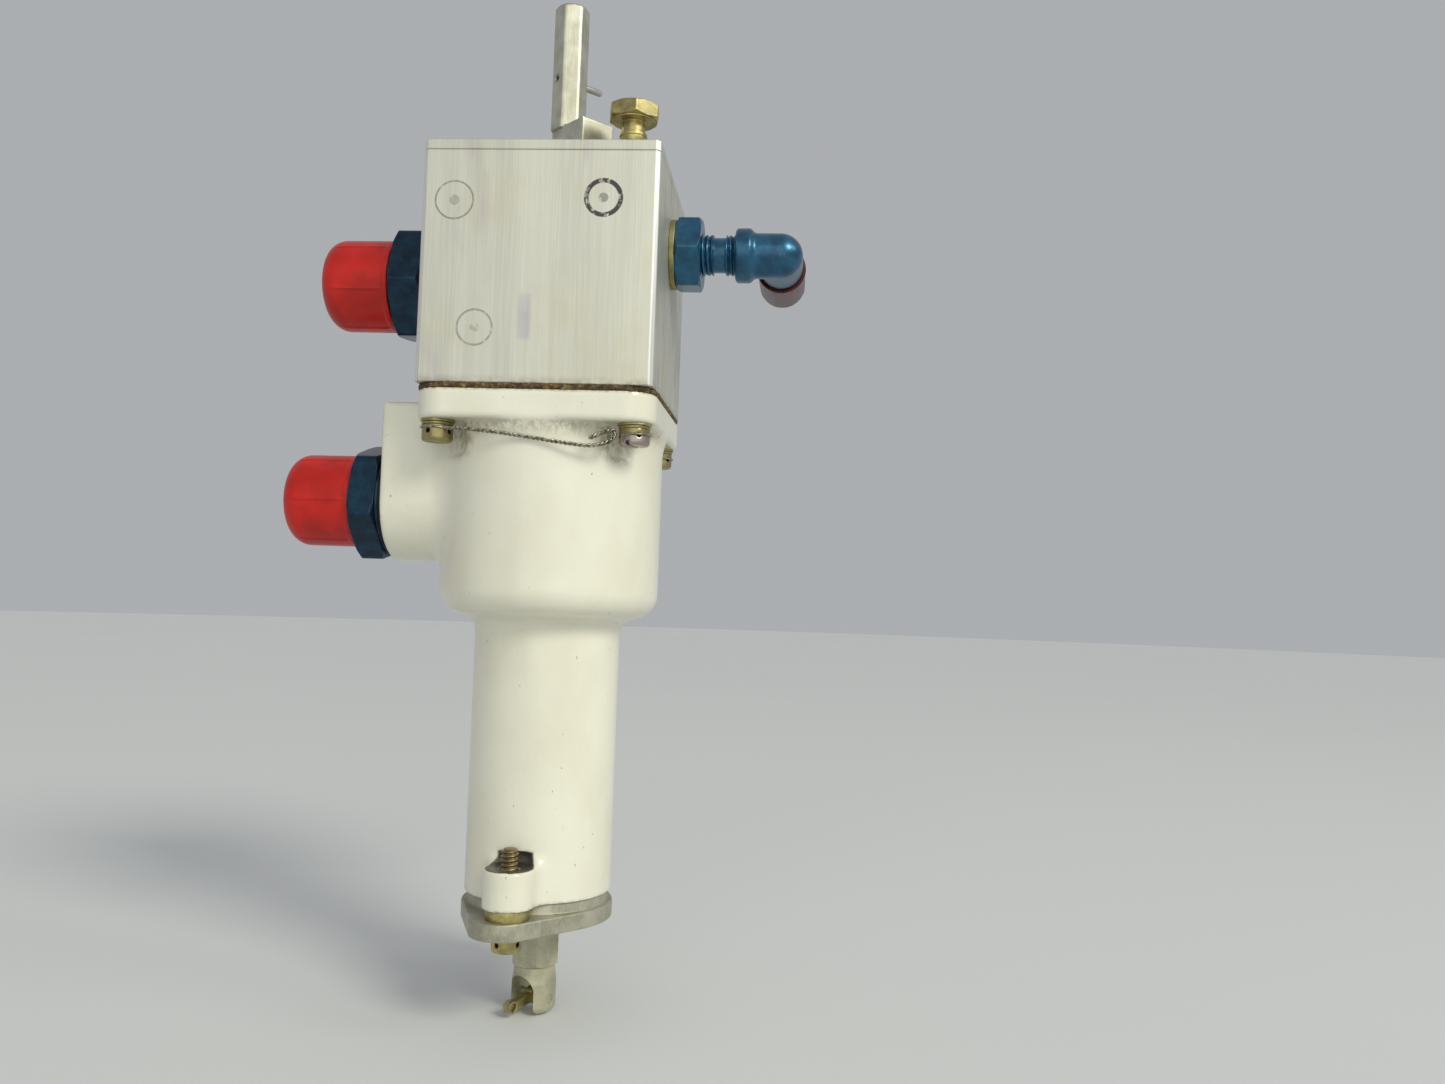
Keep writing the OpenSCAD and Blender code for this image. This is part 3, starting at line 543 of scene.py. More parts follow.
def cast_enamel():
    """Cream-white gloss enamel over a casting: slight orange peel, faint yellowing, dark specks, grime with
    painted shade under the flange and round the screws; the boss face, spot faces and lower end are bare
    machined metal."""
    f = Finish("cream_enamel", ior=1.5, coat_roughness=0.08, metallic=0.0, roughness=0.3)
    peel = f.noise(0.75, 2, 0.5)
    fine = f.noise(2.6, 2, 0.5, (1, 1, 1), (4, 4, 4))
    cloud = f.noise(0.045, 4, 0.55, (1, 1, 0.6))
    colour = f.mix(f.rise(cloud, 0.35, 0.7), (0.80, 0.785, 0.665), (0.73, 0.705, 0.57))
    speck = f.rise(f.noise(0.85, 2, 0.4, (1, 1, 0.7), (9, 3, 1)), 0.745, 0.775)
    colour = f.mix(speck * 0.5, colour, (0.16, 0.14, 0.09))
    # grime and painted shade: darker and browner under the flange, in the screw pockets and by the joint
    # sheet at the flange's top edge
    grime_shade_noise = f.noise(0.8, 5, 0.75, (1, 1, 0.6), (1, 7, 2))
    under = f.rise(f.z, -12.4, -8.3) * f.rise(f.z, -7.75, -8.0)
    grime_and_shade = under * f.rise(abs(f.x), 27.4, 26.0) * 0.45
    for x, y in ((-21.5, -22.5), (-21.5, 22.5), (21.5, -22.5), (21.5, 22.5)):
        grime_and_shade = grime_and_shade.most(f.near(x, y, -10.8, 4.2, 9.0))
    grime_and_shade = (grime_and_shade * f.rise(f.z, -7.5, -8.6)).most(f.rise(f.z, -2.1, -1.4) * 0.5)
    stain = f.mix(grime_and_shade * 0.45, colour, (0.50, 0.44, 0.22))
    grime_and_shade = grime_and_shade * f.rise(grime_shade_noise, 0.42, 0.6)
    colour = f.mix(grime_and_shade * 0.85, stain, (0.11, 0.075, 0.03))
    chip = f.rise(f.noise(0.8, 3, 0.6, (1, 1, 1), (5, 5, 9)), 0.45, 0.6)
    edge = f.rise(f.z, -116.0, -116.55) * chip
    flat = f.node("ShaderNodeCombineXYZ", {}, {0: f.x, 1: f.y, 2: 0.0})
    lug_gap = f.gap(-LUG[0], -LUG[1], 0, flat).least(f.gap(LUG[0], LUG[1], 0, flat))
    spot = f.rise(lug_gap, 5.6, 5.25) * f.rise(f.z, LUG_TOP - 0.3, LUG_TOP - 0.1)
    spot = spot * f.rise(f.z, LUG_TOP + 3.3, LUG_TOP + 2.7)
    face = f.rise(f.x, BOSS_X + 0.25, BOSS_X + 0.1)
    foot = f.rise(f.z, BARREL_LOW + 0.25, BARREL_LOW + 0.1)
    bare = spot.most(face).most(foot).most(edge * 0.6)
    metal = f.mix(f.noise(1.2, 3, 0.6), (0.42, 0.39, 0.33), (0.62, 0.6, 0.54))
    metal = f.mix(spot * 0.8, metal, (0.13, 0.12, 0.09))
    colour = f.mix(bare, colour, metal)
    f.set("Metallic", bare * 0.85)
    f.set("Coat Weight", 0.35 * (1 - bare) * (1 - grime_and_shade))
    rough = 0.24 + 0.1 * cloud + grime_and_shade * 0.35 + bare * 0.15
    return f.finished(colour, rough, peel * 0.75 + fine * 0.25, 0.05)


def plated(name, light, dark, tint, rough=0.34, scale=0.35, zones=(), heated=()):
    """Plated or passivated metal: two tones in soft clouds, a third tint in patches, fine scratches and
    darkened spots. zones: lower end, upper end, share and colour of grimy heights.
    heated: x, y, z, radius, share and colour of a discoloured head."""
    f = Finish(name, metallic=0.95, roughness=rough)
    cloud = f.noise(scale, 4, 0.6)
    patch = f.rise(f.noise(scale * 0.8, 3, 0.6, (1, 1, 1), (13, 5, 2)), 0.5, 0.66)
    scratch = f.noise(2.4, 3, 0.7, (1, 1, 0.25), (2, 2, 8))
    spot = f.rise(f.noise(1.6, 2, 0.5, (1, 1, 1), (6, 1, 9)), 0.66, 0.74)
    colour = f.mix(f.rise(cloud, 0.32, 0.68), dark, light)
    colour = f.mix(patch * 0.35, colour, tint)
    colour = f.mix(spot * 0.5, colour, [c * 0.35 for c in dark])
    for low, high, share, grime_and_shade in zones:
        band = f.rise(f.z, low - 0.3, low + 0.3) * f.rise(f.z, high + 0.3, high - 0.3)
        colour = f.mix(band * f.rise(cloud, 0.2, 0.6) * share, colour, grime_and_shade)
    for x, y, z, r, share, tone in heated:
        colour = f.mix(f.near(x, y, z, r, r + 0.4) * share, colour, tone)
    return f.finished(colour, rough - 0.1 + 0.25 * cloud + 0.1 * spot, scratch, 0.012)


def anodised(name, light, dark, rough, metallic):
    """Dyed anodised aluminium: turned grain, patchy dye, rubbed paler spots."""
    f = Finish(name, metallic=metallic, roughness=rough, coat_roughness=0.15)
    cloud = f.noise(0.28, 4, 0.6)
    rub = f.rise(f.noise(0.9, 4, 0.7, (1, 1, 1), (4, 8, 1)), 0.6, 0.74)
    turning = f.noise(3.0, 2, 0.5, (2.2, 0.25, 0.25))
    colour = f.mix(f.rise(cloud, 0.3, 0.7), dark, light)
    colour = f.mix(rub * 0.35, colour, [min(1, c * 1.6 + 0.05) for c in light])
    f.set("Coat Weight", 0.25)
    return f.finished(colour, rough - 0.07 + 0.18 * cloud, turning, 0.0096)


def moulded(name, light, dark, rough):
    """Moulded plastic: soft mottle, fine matte grain, scuffed paler specks."""
    f = Finish(name, ior=1.4, roughness=rough)
    cloud = f.noise(0.12, 3, 0.5)
    scuff = f.rise(f.noise(1.3, 4, 0.7, (1, 1, 1), (3, 3, 3)), 0.62, 0.76)
    dust = f.rise(f.noise(3.5, 2, 0.5, (1, 1, 1), (8, 1, 4)), 0.68, 0.78)
    colour = f.mix(f.rise(cloud, 0.35, 0.65), dark, light)
    colour = f.mix(scuff * 0.16 + dust * 0.08, colour, [min(1, c * 1.2 + 0.05) for c in light])
    grain = f.noise(4.0, 3, 0.6) * 0.5 + f.noise(0.5, 2, 0.5) * 0.5
    return f.finished(colour, rough - 0.05 + 0.1 * cloud + 0.15 * scuff, grain, 0.02)


def fibre_sheet():
    """Brown joint sheet: rust and near-black mottle, fibres, matte."""
    f = Finish("joint_sheet", roughness=0.85)
    mottle = f.noise(0.9, 4, 0.7)
    fleck = f.rise(f.noise(2.2, 3, 0.6, (1, 1, 2), (2, 6, 1)), 0.55, 0.7)
    black, brown, rust = (0.016, 0.011, 0.006), (0.07, 0.042, 0.014), (0.26, 0.19, 0.07)
    colour = f.ramp(mottle, (0.34, black), (0.5, brown), (0.68, rust))
    colour = f.mix(fleck * 0.5, colour, (0.28, 0.20, 0.10))
    return f.finished(colour, 0.75 + 0.2 * mottle, mottle * 0.6 + f.noise(5, 2, 0.6) * 0.4, 0.12)


def milled(name, light, dark, rough, stretch, metallic=0.9):
    """Milled or turned metal: tool marks stretched along the part, warm tarnish in patches, dark nicks."""
    f = Finish(name, metallic=metallic, roughness=rough)
    marks = f.noise(3.2, 3, 0.6, stretch)
    cloud = f.noise(0.16, 4, 0.6, (1, 1, 1), (2, 3, 9))
    tarnish = f.rise(f.noise(0.25, 3, 0.6, (1, 1, 1), (17, 3, 2)), 0.48, 0.7)
    nick = f.rise(f.noise(1.8, 3, 0.6, (1, 1, 1), (5, 9, 2)), 0.66, 0.74)
    colour = f.mix(f.rise(cloud, 0.34, 0.66), dark, light)
    colour = f.mix(f.rise(marks, 0.4, 0.65) * 0.3, colour, [min(1, c * 1.18) for c in light])
    colour = f.mix(tarnish * 0.25, colour, (0.4, 0.36, 0.22))
    colour = f.mix(nick * 0.4, colour, [c * 0.3 for c in dark])
    return f.finished(colour, rough - 0.08 + 0.22 * marks, marks, 0.018)


INK_RINGS = ((-19.4, 41.3, 4.3, 0.17, 0.5), (14.5, 42.1, 3.9, 0.42, 0.92), (-13.6, 12.4, 4.0, 0.2, 0.42))
GRIMY_HEADS = (-14, -8.6, 0.5, (0.20, 0.17, 0.11))
GRIMY_THREADS = (-109, -100, 0.85, (0.17, 0.125, 0.07))
VIOLET_HEAD = (SCREW_X, -SCREW_Y, -13.4, 4.1, 0.75, (0.40, 0.34, 0.36))

finishes = {
    "bare_aluminium": brushed_block("linished_block", (0.655, 0.65, 0.565), INK_RINGS),
    "cover_aluminium": brushed_block("linished_cover", (0.63, 0.625, 0.535)),
    "plate_aluminium": milled("milled_plate", (0.47, 0.46, 0.37), (0.3, 0.29, 0.22), 0.42, (1, 1, 0.3), 0.55),
    "cast_paint": cast_enamel(),
    "joint_gasket": fibre_sheet(),
    "gold_plating": plated(
        "gold_plate", (0.58, 0.49, 0.20), (0.30, 0.265, 0.12), (0.36, 0.32, 0.19),
        zones=(GRIMY_HEADS, GRIMY_THREADS), heated=(VIOLET_HEAD,),
    ),
    "plain_steel": milled("plain_steel", (0.52, 0.51, 0.48), (0.34, 0.33, 0.31), 0.34, (1, 1, 0.2)),
    "dark_steel": milled("dark_steel", (0.15, 0.14, 0.13), (0.07, 0.07, 0.065), 0.42, (1, 1, 0.2)),
    "post_steel": milled("post_steel", (0.60, 0.59, 0.49), (0.44, 0.43, 0.34), 0.36, (1, 1, 0.06)),
    "rod_steel": milled("rod_steel", (0.50, 0.48, 0.35), (0.34, 0.33, 0.23), 0.38, (0.3, 0.3, 1), 0.5),
    "wire_steel": plated("wire_steel", (0.5, 0.47, 0.38), (0.11, 0.095, 0.065), (0.26, 0.2, 0.12), 0.3, 1.1),
    "blue_union": anodised("navy_anodising", (0.009, 0.045, 0.085), (0.004, 0.018, 0.04), 0.34, 0.85),
    "blue_elbow": anodised("blue_anodising", (0.022, 0.125, 0.23), (0.012, 0.065, 0.13), 0.3, 0.65),
    "red_cap": moulded("red_plastic", (0.56, 0.014, 0.008), (0.42, 0.009, 0.005), 0.36),
    # painted shade: the elbow's cap is the same red plastic as the other caps, given the darker tone it shows
    # in shadow
    "dark_cap": moulded("shaded_red_plastic", (0.10, 0.010, 0.007), (0.04, 0.005, 0.004), 0.25),
    "seal_ring": plated("seal_ring", (0.40, 0.37, 0.16), (0.24, 0.22, 0.11), (0.2, 0.2, 0.12), 0.5),
    "bronze": milled("bearing_bronze", (0.42, 0.26, 0.10), (0.28, 0.17, 0.07), 0.4, (1, 1, 0.3)),
    "black_rubber": moulded("black_rubber", (0.022, 0.022, 0.022), (0.012, 0.012, 0.012), 0.6),
}

slot_of = {part["node"]: part["material_slot"] for part in frame["record"]["subparts"]}
for node, part in frame["nodes"].items():
    for place in part.material_slots:
        place.material = finishes[slot_of[node]]


# ---- lower housing ----


def casting_field(x, y, z):
    """Chamber and barrel as rounded turned rods joined by a fillet; a port boss, half round below and
    straight above, joined to the chamber; screw pockets taken off; a flange plate with round corners; lugs
    as round bars along a short segment; then spot faces, bores and the gasket plane cut away."""
    rho = np.sqrt(x * x + y * y) + 0 * z
    swell = np.clip((z + 13.4) / 5.4, 0, 1) ** 2
    chamber = rounded_join(rho - CHAMBER_R - swell, slab(z, CHAMBER_LOW, -1.6), 6.2)
    barrel = rod_field(x, y, z, BARREL_R, BARREL_LOW, -20, 0.35)
    body = join(chamber, barrel, 4.6)
    column = rounded_join(abs(y) - BOSS_R + 0 * x, slab(z, BOSS_Z, -2.55), 1.1)
    outline = np.minimum(np.sqrt(y * y + (z - BOSS_Z) ** 2) - BOSS_R, column)
    body = join(body, rounded_join(outline, slab(x, BOSS_X, 0), 0.8), 3.4)
    pocket = rod_field(abs(x) - SCREW_X, abs(y) - SCREW_Y, z, 6.2, -15.35, 2, 1.0)
    body = cut_off(body, pocket, 1.3)
    flange = rounded_join(flat_box(x, y, HALF + 0.4, HALF + 0.4, 7) + 0 * z, slab(z, FLANGE_LOW, 3), 1.1)
    body = join(body, flange, 1.0)
    along = LUG / np.linalg.norm(LUG)
    for s in (-1, 1):
        reach = np.clip(s * (x * along[0] + y * along[1]), 0, np.linalg.norm(LUG))
        aside = np.sqrt((x - s * reach * along[0]) ** 2 + (y - s * reach * along[1]) ** 2)
        lug = rounded_join(aside - 5.8 + 0 * z, slab(z, BARREL_LOW, LUG_TOP), 0.45)
        body = join(body, lug, 3.2)
    body = np.maximum(body, BARREL_LOW - z)
    for s in (-1, 1):
        u, v = x - s * LUG[0], y - s * LUG[1]
        body = cut_off(body, rod_field(u, v, z, 5.2, LUG_TOP, LUG_TOP + 3, 1.0), 0.5)
        body = cut_off(body, rod_field(u, v, z, 2.1, -130, LUG_TOP + 2, 0.1), 0.25)
    body = cut_off(body, rod_field(x, y, z, 20.0, -44, 9, 0.3), 0.3)
    body = cut_off(body, rod_field(x, y, z, 13.0, -130, -38, 0.3), 0.3)
    body = cut_off(body, rod_field(y, z - BOSS_Z, x, 9.5, -60, BOSS_X + 11.2, 0.2), 0.4)
    body = cut_off(body, rod_field(y, z - BOSS_Z, x, 5.5, -32, -15, 0.2), 0.3)
    body = cut_off(body, rod_field(abs(x) - SCREW_X, abs(y) - SCREW_Y, z, 2.3, -20, 9, 0.1), 0.25)
    return np.maximum(body, z + GASKET)


CASTING_CELL, FINE_CELL, HEAD_CELL = 0.66, 0.36, 0.2
casting_skin = skin(casting_field, (-39.6, -29, -118.4), (29, 29, 0.4), CASTING_CELL)
piece("casting", casting_skin, "valve_body", "cast_paint", ["lower_housing"], 48)


def sheet_edge(corner, half):
    """Outline of a sheet with round corners, as a distance from the middle for every angle, with a torn and
    swollen edge: three sine waves of 23, 57 and 131 turns added."""
    angle = np.arange(720) * 2 * math.pi / 720
    u, v = abs(np.cos(angle)), abs(np.sin(angle))
    inner = half - corner
    side = half / np.maximum(u, v)
    mid = inner * (u + v)
    arc = mid + np.sqrt(np.maximum(mid**2 - 2 * inner**2 + corner**2, 0))
    r = np.where(np.minimum(u, v) * side > inner, arc, side)
    ragged = 0.08 * np.sin(23 * angle + 1) + 0.06 * np.sin(57 * angle + 2) + 0.04 * np.sin(131 * angle)
    return angle, r, ragged


def joint_sheet():
    """The joint sheet as a ring. Rows: lower inner, lower outer, three bulging edge rows, upper outer, upper
    inner. The outer ones are moved out, waved and lifted by two sine waves of 31 and 83 turns."""
    angle, r, ragged = sheet_edge(7, HALF + 0.3)
    swell = 0.14 * np.sin(31 * angle) + 0.1 * np.sin(83 * angle + 1)

    def row(reach, height):
        return np.stack([reach * np.cos(angle), reach * np.sin(angle), height + 0 * angle], -1)

    rows = [row(20.5, -GASKET)]
    for z, out, wave, lift in (
        (-GASKET + 0.02, -0.3, 0.4, 0.4), (-GASKET * 0.86, 0.02, 0.9, 0.9), (-GASKET * 0.5, 0.12, 1.0, 0),
        (-GASKET * 0.14, 0.0, 0.9, 0.9), (-0.02, -0.3, 0.4, 0.4),
    ):
        rows.append(row(r + out + ragged * wave, np.clip(z + swell * lift, -GASKET, 0)))
    rows.append(row(20.5, 0))
    return np.concatenate(rows), grid_faces(len(rows), len(angle), True)


piece("joint_sheet", joint_sheet(), "valve_body", "joint_gasket", ["flange_gasket"], 50)


# ---- drilled screws, washers and locking wire ----


def drilled_head(r, h):
    """Fillister head, upright with its slot below: a rounded rod, less a slot box and two crossing holes
    for the wire."""

    def field(x, y, z):
        head = np.maximum(rod_field(x, y, z, r, 0, h + 2, 0.85), z - h)
        head = cut_off(head, np.maximum(abs(y) - 0.45 + 0 * x, z - 1.1), 0.16)
        for u in ((x + y) * math.sqrt(0.5), (x - y) * math.sqrt(0.5)):
            head = cut_off(head, np.sqrt(u * u + (z - h * 0.6) ** 2) - 0.58, 0.16)
        return head

    edge = 0.6
    return skin(field, (-r - edge, -r - edge, -edge), (r + edge, r + edge, h + edge), HEAD_CELL)


def raised(shape, z):
    """A shape lifted by z."""
    return shape[0] + np.array([0, 0, z]), shape[1]


WASHER, FLANGE_HEAD, PLATE_HEAD = 1.2, 3.8, 3.4
PLATE_LOW = -123.0
big_head = drilled_head(3.5, FLANGE_HEAD)
inside_head = FLANGE_HEAD - 0.3
shank = turned(rounded([(0, inside_head), (2.0, inside_head), (2.0, 21), (1.5, 21.6), (0, 21.6)]), 32)
washer_line = rounded([
    (2.35, 0, 0), (3.55, 0, 0.15), (3.6, 0.58, 0.1), (3.35, 0.62, 0.05), (3.4, 0.68), (3.9, 0.7, 0.12),
    (3.9, WASHER, 0.12), (2.35, WASHER, 0),
], 4)
washer = turned(washer_line, 48)
screws, washers = [], []
for sx, sy, slot_turn in ((-1, -1, 24), (1, -1, 71), (-1, 1, 143), (1, 1, 10)):
    x, y = sx * SCREW_X, sy * SCREW_Y
    for shape in (big_head, shank):
        screws.append(raised(spun(shape, slot_turn, x, y), FLANGE_LOW - WASHER - FLANGE_HEAD))
    washers.append(raised(spun(washer, slot_turn, x, y), FLANGE_LOW - WASHER))
piece("flange_fillister_screws", screws, "valve_body", "gold_plating", ["flange_screws"], 40)
piece("flange_screw_washers", washers, "valve_body", "gold_plating", ["flange_washers"], 40)

WIRE_Z, LOOP_R = FLANGE_LOW - 2.1, 3.72
FRONT = CHAMBER_R + 0.9
WIRE_ROUTE = np.array([
    (-SCREW_X + 2.6, -SCREW_Y - 2.6 + FRONT, 0), (-15.5, 1.0, -0.3), (-8, 0, -1.0), (0, 0, -2.0),
    (8, 0, -3.1), (13.5, 0.5, -3.5), (17.2, 1.2, -2.6), (18.7, 1.7, -1.2), (18.3, 1.4, 0.1),
    (16.1, 0.6, -0.7), (13.3, 0.1, -1.9),
]) + np.array([0, -FRONT, WIRE_Z])


def wire_loop(x, start, end, z):
    """One strand bent round a front screw's head: an arc between two angles, rising slightly."""
    a = np.radians(np.linspace(start, end, 28))
    lift = 0.25 * np.sin(np.linspace(0, math.pi, 28))
    line = np.stack([x + LOOP_R * np.cos(a), -SCREW_Y + LOOP_R * np.sin(a), z + lift], -1)
    return swept(line, circle_section(0.25))


def lock_wire(side):
    """The twisted pair along its route, and one strand bent round each of the two heads. side mirrors it to
    the back."""
    shapes = twisted_pair(smooth_line(WIRE_ROUTE, 16), 0.285, 0.25, 2.1)
    shapes.append(wire_loop(-SCREW_X, -48, -300, WIRE_Z + 0.1))
    shapes.append(wire_loop(SCREW_X, -130, 130, WIRE_Z - 0.6))
    flip = np.array([1, side, 1])
    return [(points * flip, faces if side > 0 else faces[:, ::-1]) for points, faces in shapes]


for name, side in (("lock_wire_front", 1), ("lock_wire_rear", -1)):
    piece("twisted_" + name, lock_wire(side), "valve_body", "wire_steel", [name], 60)

small_head = drilled_head(3.4, PLATE_HEAD)
threaded_shank = turned(
    rounded([(0, 3), (2.02, 3), (2.02, 22.1), (1.5, 22.7), (0, 22.7)], 4, 0.09), 40,
    thread=[(16.0, 22.9)], pitch=1.0, cut=0.42,
)
lug_screws = []
for s, slot_turn in ((-1, 18), (1, 35)):
    for shape in (small_head, threaded_shank):
        lug_screws.append(raised(spun(shape, slot_turn, s * LUG[0], s * LUG[1]), PLATE_LOW - PLATE_HEAD))
piece("end_plate_fillister_screws", lug_screws, "valve_body", "gold_plating", ["end_plate_screws"], 40)


# ---- unions, caps and elbow ----


def union_shape(inner, shoulder, hexagon, outer, turn):
    """A straight union, upright: inner thread, shoulder, hexagon with turned corners, neck, outer thread, and
    a bore right through. The first four numbers are the lengths of the steps."""
    top = shoulder + hexagon
    corner = UNION_ACROSS * CORNER_OUT
    line = rounded([
        (6.2, -inner), (9.48, -inner), (9.48, 0), (12.3, 0, 0.25), (12.4, shoulder),
        (corner - 1.35, shoulder), (corner, shoulder + 0.8), (corner, top - 0.8), (corner - 1.35, top),
        (8.2, top), (8.2, top + 2.4), (9.5, top + 2.7), (9.5, top + outer - 0.8), (8.7, top + outer),
        (6.2, top + outer),
    ], 4, 0.22)
    return turned(
        line, 96, UNION_ACROSS, shoulder - 0.01, top + 0.01, math.radians(turn + 30),
        thread=[(top + 2.6, top + outer)], pitch=1.6, cut=0.75,
    )


SEAL = 1.1
upper_x, lower_x = -HALF - SEAL, BOSS_X - SEAL
upper_union = laid(union_shape(12, 3.2, 8, 15.2, 24), upper_x, 0, UNION_Z, "-x")
lower_union = laid(union_shape(12, 0.6, 6.4, 15.2, 13.5), lower_x, 0, BOSS_Z, "-x")
piece("upper_union_fitting", upper_union, "valve_body", "blue_union", ["upper_union"], 28)
piece("lower_union_fitting", lower_union, "valve_body", "blue_union", ["lower_union"], 28)


def cap_shape(r, bore, depth, length, dome, rib_turn, ribs=6, rib_high=0.3, rib_wide=0.03):
    """A moulded cap, open end down: a tube with a domed end and a rolled lip, and ribs along it, each a bell
    curve of the angle from its middle, which fade out into the dome."""

    def rib(angle, radius, z):
        gap = abs(((angle - rib_turn) * ribs / (2 * math.pi) + 0.5) % 1 - 0.5) / ribs * 2 * math.pi
        high = rib_high * np.exp(-((gap / rib_wide) ** 2))
        fade = np.clip((z - 1.0) / 1.5, 0, 1) * np.clip((length - dome * 0.55 - z) / (dome * 0.6), 0, 1)
        return np.where(radius > r - dome * 0.4, high * fade, 0)

    line = rounded([
        (0, depth), (bore, depth, 1.0), (bore, 0, 0.25), (r + 0.12, 0, 0.3), (r + 0.12, 1.1, 0.3),
        (r - 0.02, 1.5, 0.2), (r - 0.1, length, dome), (r * 0.32, length, 0.5),
        (r * 0.3, length - 0.25, 0.3), (0, length - 0.3),
    ], 12, 0.8)
    return turned(line, 288, ribs=rib)


RED_CAP = (11.2, 9.58, 15.1, 17.3, 4.4)
upper_cap = laid(cap_shape(*RED_CAP, math.radians(-106)), upper_x - 12.1, 0, UNION_Z, "-x")
lower_cap = laid(cap_shape(*RED_CAP, math.radians(-92)), lower_x - 7.6, 0, BOSS_Z, "-x")
piece("upper_red_cap", upper_cap, "upper_cap", "red_cap", ["upper_cap"], 40)
piece("lower_red_cap", lower_cap, "lower_cap", "red_cap", ["lower_cap"], 40)


def elbow_field(x, y, z):
    """Collar, round body, ball corner and outlet leg joined smoothly, less the outlet's bore."""
    z = z - ELBOW_Z
    collar = rod_field(y, z, x, 6.55, 42.7, 46.8, 0.9)
    body = rod_field(y, z, x, ELBOW_R, 44, ELBOW_X, 0.3)
    x = x - ELBOW_X
    ball = np.sqrt(x**2 + y * y + z * z) - ELBOW_R
    leg = rod_field(x, z, y, ELBOW_R, 0, 10, 0.5)
    made = join(collar, np.minimum(np.minimum(body, ball), leg), 1.2)
    return cut_off(made, rod_field(x, z, y, 2.6, 4, 30, 0.2), 0.3)


stem_line = rounded([
    (0, 17.4), (4.1, 17.4), (ELBOW_THREAD_R, 18.2), (ELBOW_THREAD_R, 37.3), (4.2, 37.5, 0.2),
    (4.2, 40.3, 0.2), (ELBOW_THREAD_R, 40.5), (ELBOW_THREAD_R, 42.9), (0, 42.9),
], 4, 0.1)
outlet_line = rounded([
    (2.6, 9.6), (ELBOW_THREAD_R, 9.6), (ELBOW_THREAD_R, 23.9), (4.4, 24.5), (2.6, 24.5),
], 4, 0.16)
elbow_stem = turned(stem_line, 56, thread=[(18.0, 37.4), (40.4, 42.8)], pitch=1.15, cut=0.5)
elbow_outlet = turned(outlet_line, 56, thread=[(11.0, 24.6)], pitch=1.15, cut=0.45)
piece("elbow_forging", [
    skin(elbow_field, (41.8, -7.4, 29.9), (60, 11, 44.7), FINE_CELL),
    laid(elbow_stem, 0, 0, ELBOW_Z, "+x"),
    laid(elbow_outlet, ELBOW_X, 0, ELBOW_Z, "+y"),
], "valve_body", "blue_elbow", ["elbow_fitting"], 40)

nut_corner = NUT_ACROSS * CORNER_OUT
nut_line = rounded([
    (4.98, 0), (nut_corner - 1.2, 0), (nut_corner, 0.7), (nut_corner, 5.4), (nut_corner - 1.2, 6.1),
    (5.5, 6.1), (4.98, 5.6),
], 4, 0.15)
nut = laid(turned(nut_line, 96, NUT_ACROSS, -0.01, 6.11, math.radians(63.7)), HALF + 1.45, 0, ELBOW_Z, "+x")
seal_line = rounded([(4.98, 0), (8.4, 0, 0.3), (8.4, 1.4, 0.3), (4.98, 1.4)], 5)
outlet_cap = cap_shape(6.05, 5.0, 15.4, 17.6, 2.2, 0.3, 8, 0.1, 0.1)
piece("elbow_hex_nut", nut, "valve_body", "blue_elbow", ["elbow_jam_nut"], 28)
piece("elbow_seal_washer", laid(turned(seal_line, 72), HALF, 0, ELBOW_Z, "+x"),
      "valve_body", "seal_ring", ["elbow_washer"], 50)
piece("elbow_outlet_cap", laid(outlet_cap, ELBOW_X, 10.6, ELBOW_Z, "+y"),
      "elbow_cap", "dark_cap", ["elbow_cap"], 40)


# ---- control post and stop bolt ----


FOOT_TURN, PIN_TURN = math.radians(46), math.radians(45)


def post_field(x, y, z):
    """Journal, collar and tongue as rods and a bar; a foot block and a stop finger as turned boxes; a hexagon
    as three slabs with rounded edges; the pin's hole taken off."""
    rho = np.sqrt(x * x + y * y)
    made = join(rod_field(x, y, z, 4.75, 44, 61, 0.2), rod_field(x, y, z, 8.2, 43.2, 45.6, 0.2), 0.3)
    made = np.minimum(made, rod_field(x, y, z, 4.2, 36.2, 44.4, 0.2))
    tongue = np.maximum(np.maximum(rho - 6.6, abs(y) - 1.7), slab(z, 32.6, 42))
    made = np.minimum(made, tongue)
    c, s = math.cos(FOOT_TURN), math.sin(FOOT_TURN)
    u, v = x * c + y * s, -x * s + y * c
    foot = rounded_join(flat_box(u - 1.7, v + 3.9, 4.7, 6.6, 0.35) + 0 * z, slab(z, 59.8, 68.2), 0.3)
    finger = rounded_join(flat_box(u + 1.4, v + 10.4, 1.6, 10.0, 0.35) + 0 * z, slab(z, 57.6, 60.4), 0.3)
    made = join(made, join(foot, finger, 0.5), 0.4)
    flats = [abs(x * math.cos(a) + y * math.sin(a)) - 3.8 for a in np.radians((45, 105, 165))]
    sides = rounded_join(rounded_join(flats[0], flats[1], 0.28), flats[2], 0.28)
    top_chamfer = np.clip((z - POST_TOP + 0.7) * 1.2, 0, 2)
    ends = np.maximum(slab(z, 67.6, POST_TOP), rho - 4.39 + top_chamfer)
    made = join(made, rounded_join(sides + 0 * z, ends, 0.3), 0.35)
    aside = (x - y) * math.sqrt(0.5)
    return cut_off(made, np.sqrt(aside * aside + (z - PIN_Z) ** 2) - 0.84, 0.15)


post = skin(post_field, (-9.4, -9.4, 31.6), (16.6, 9.4, POST_TOP + 0.8), FINE_CELL)
piece("hexagon_post", post, "control_post", "post_steel", ["control_post"], 32)


def pin_section(r, wall, slit, sides=28):
    """Outline of a rolled pin: an outer arc, open at a slit, and the inner arc back."""
    gap = slit / 2 / r
    a = np.linspace(gap, 2 * math.pi - gap, sides) - math.pi / 2
    outer = np.stack([r * np.cos(a), r * np.sin(a)], -1)
    inner = np.stack([(r - wall) * np.cos(a[::-1]), (r - wall) * np.sin(a[::-1])], -1)
    return np.concatenate([outer, inner])


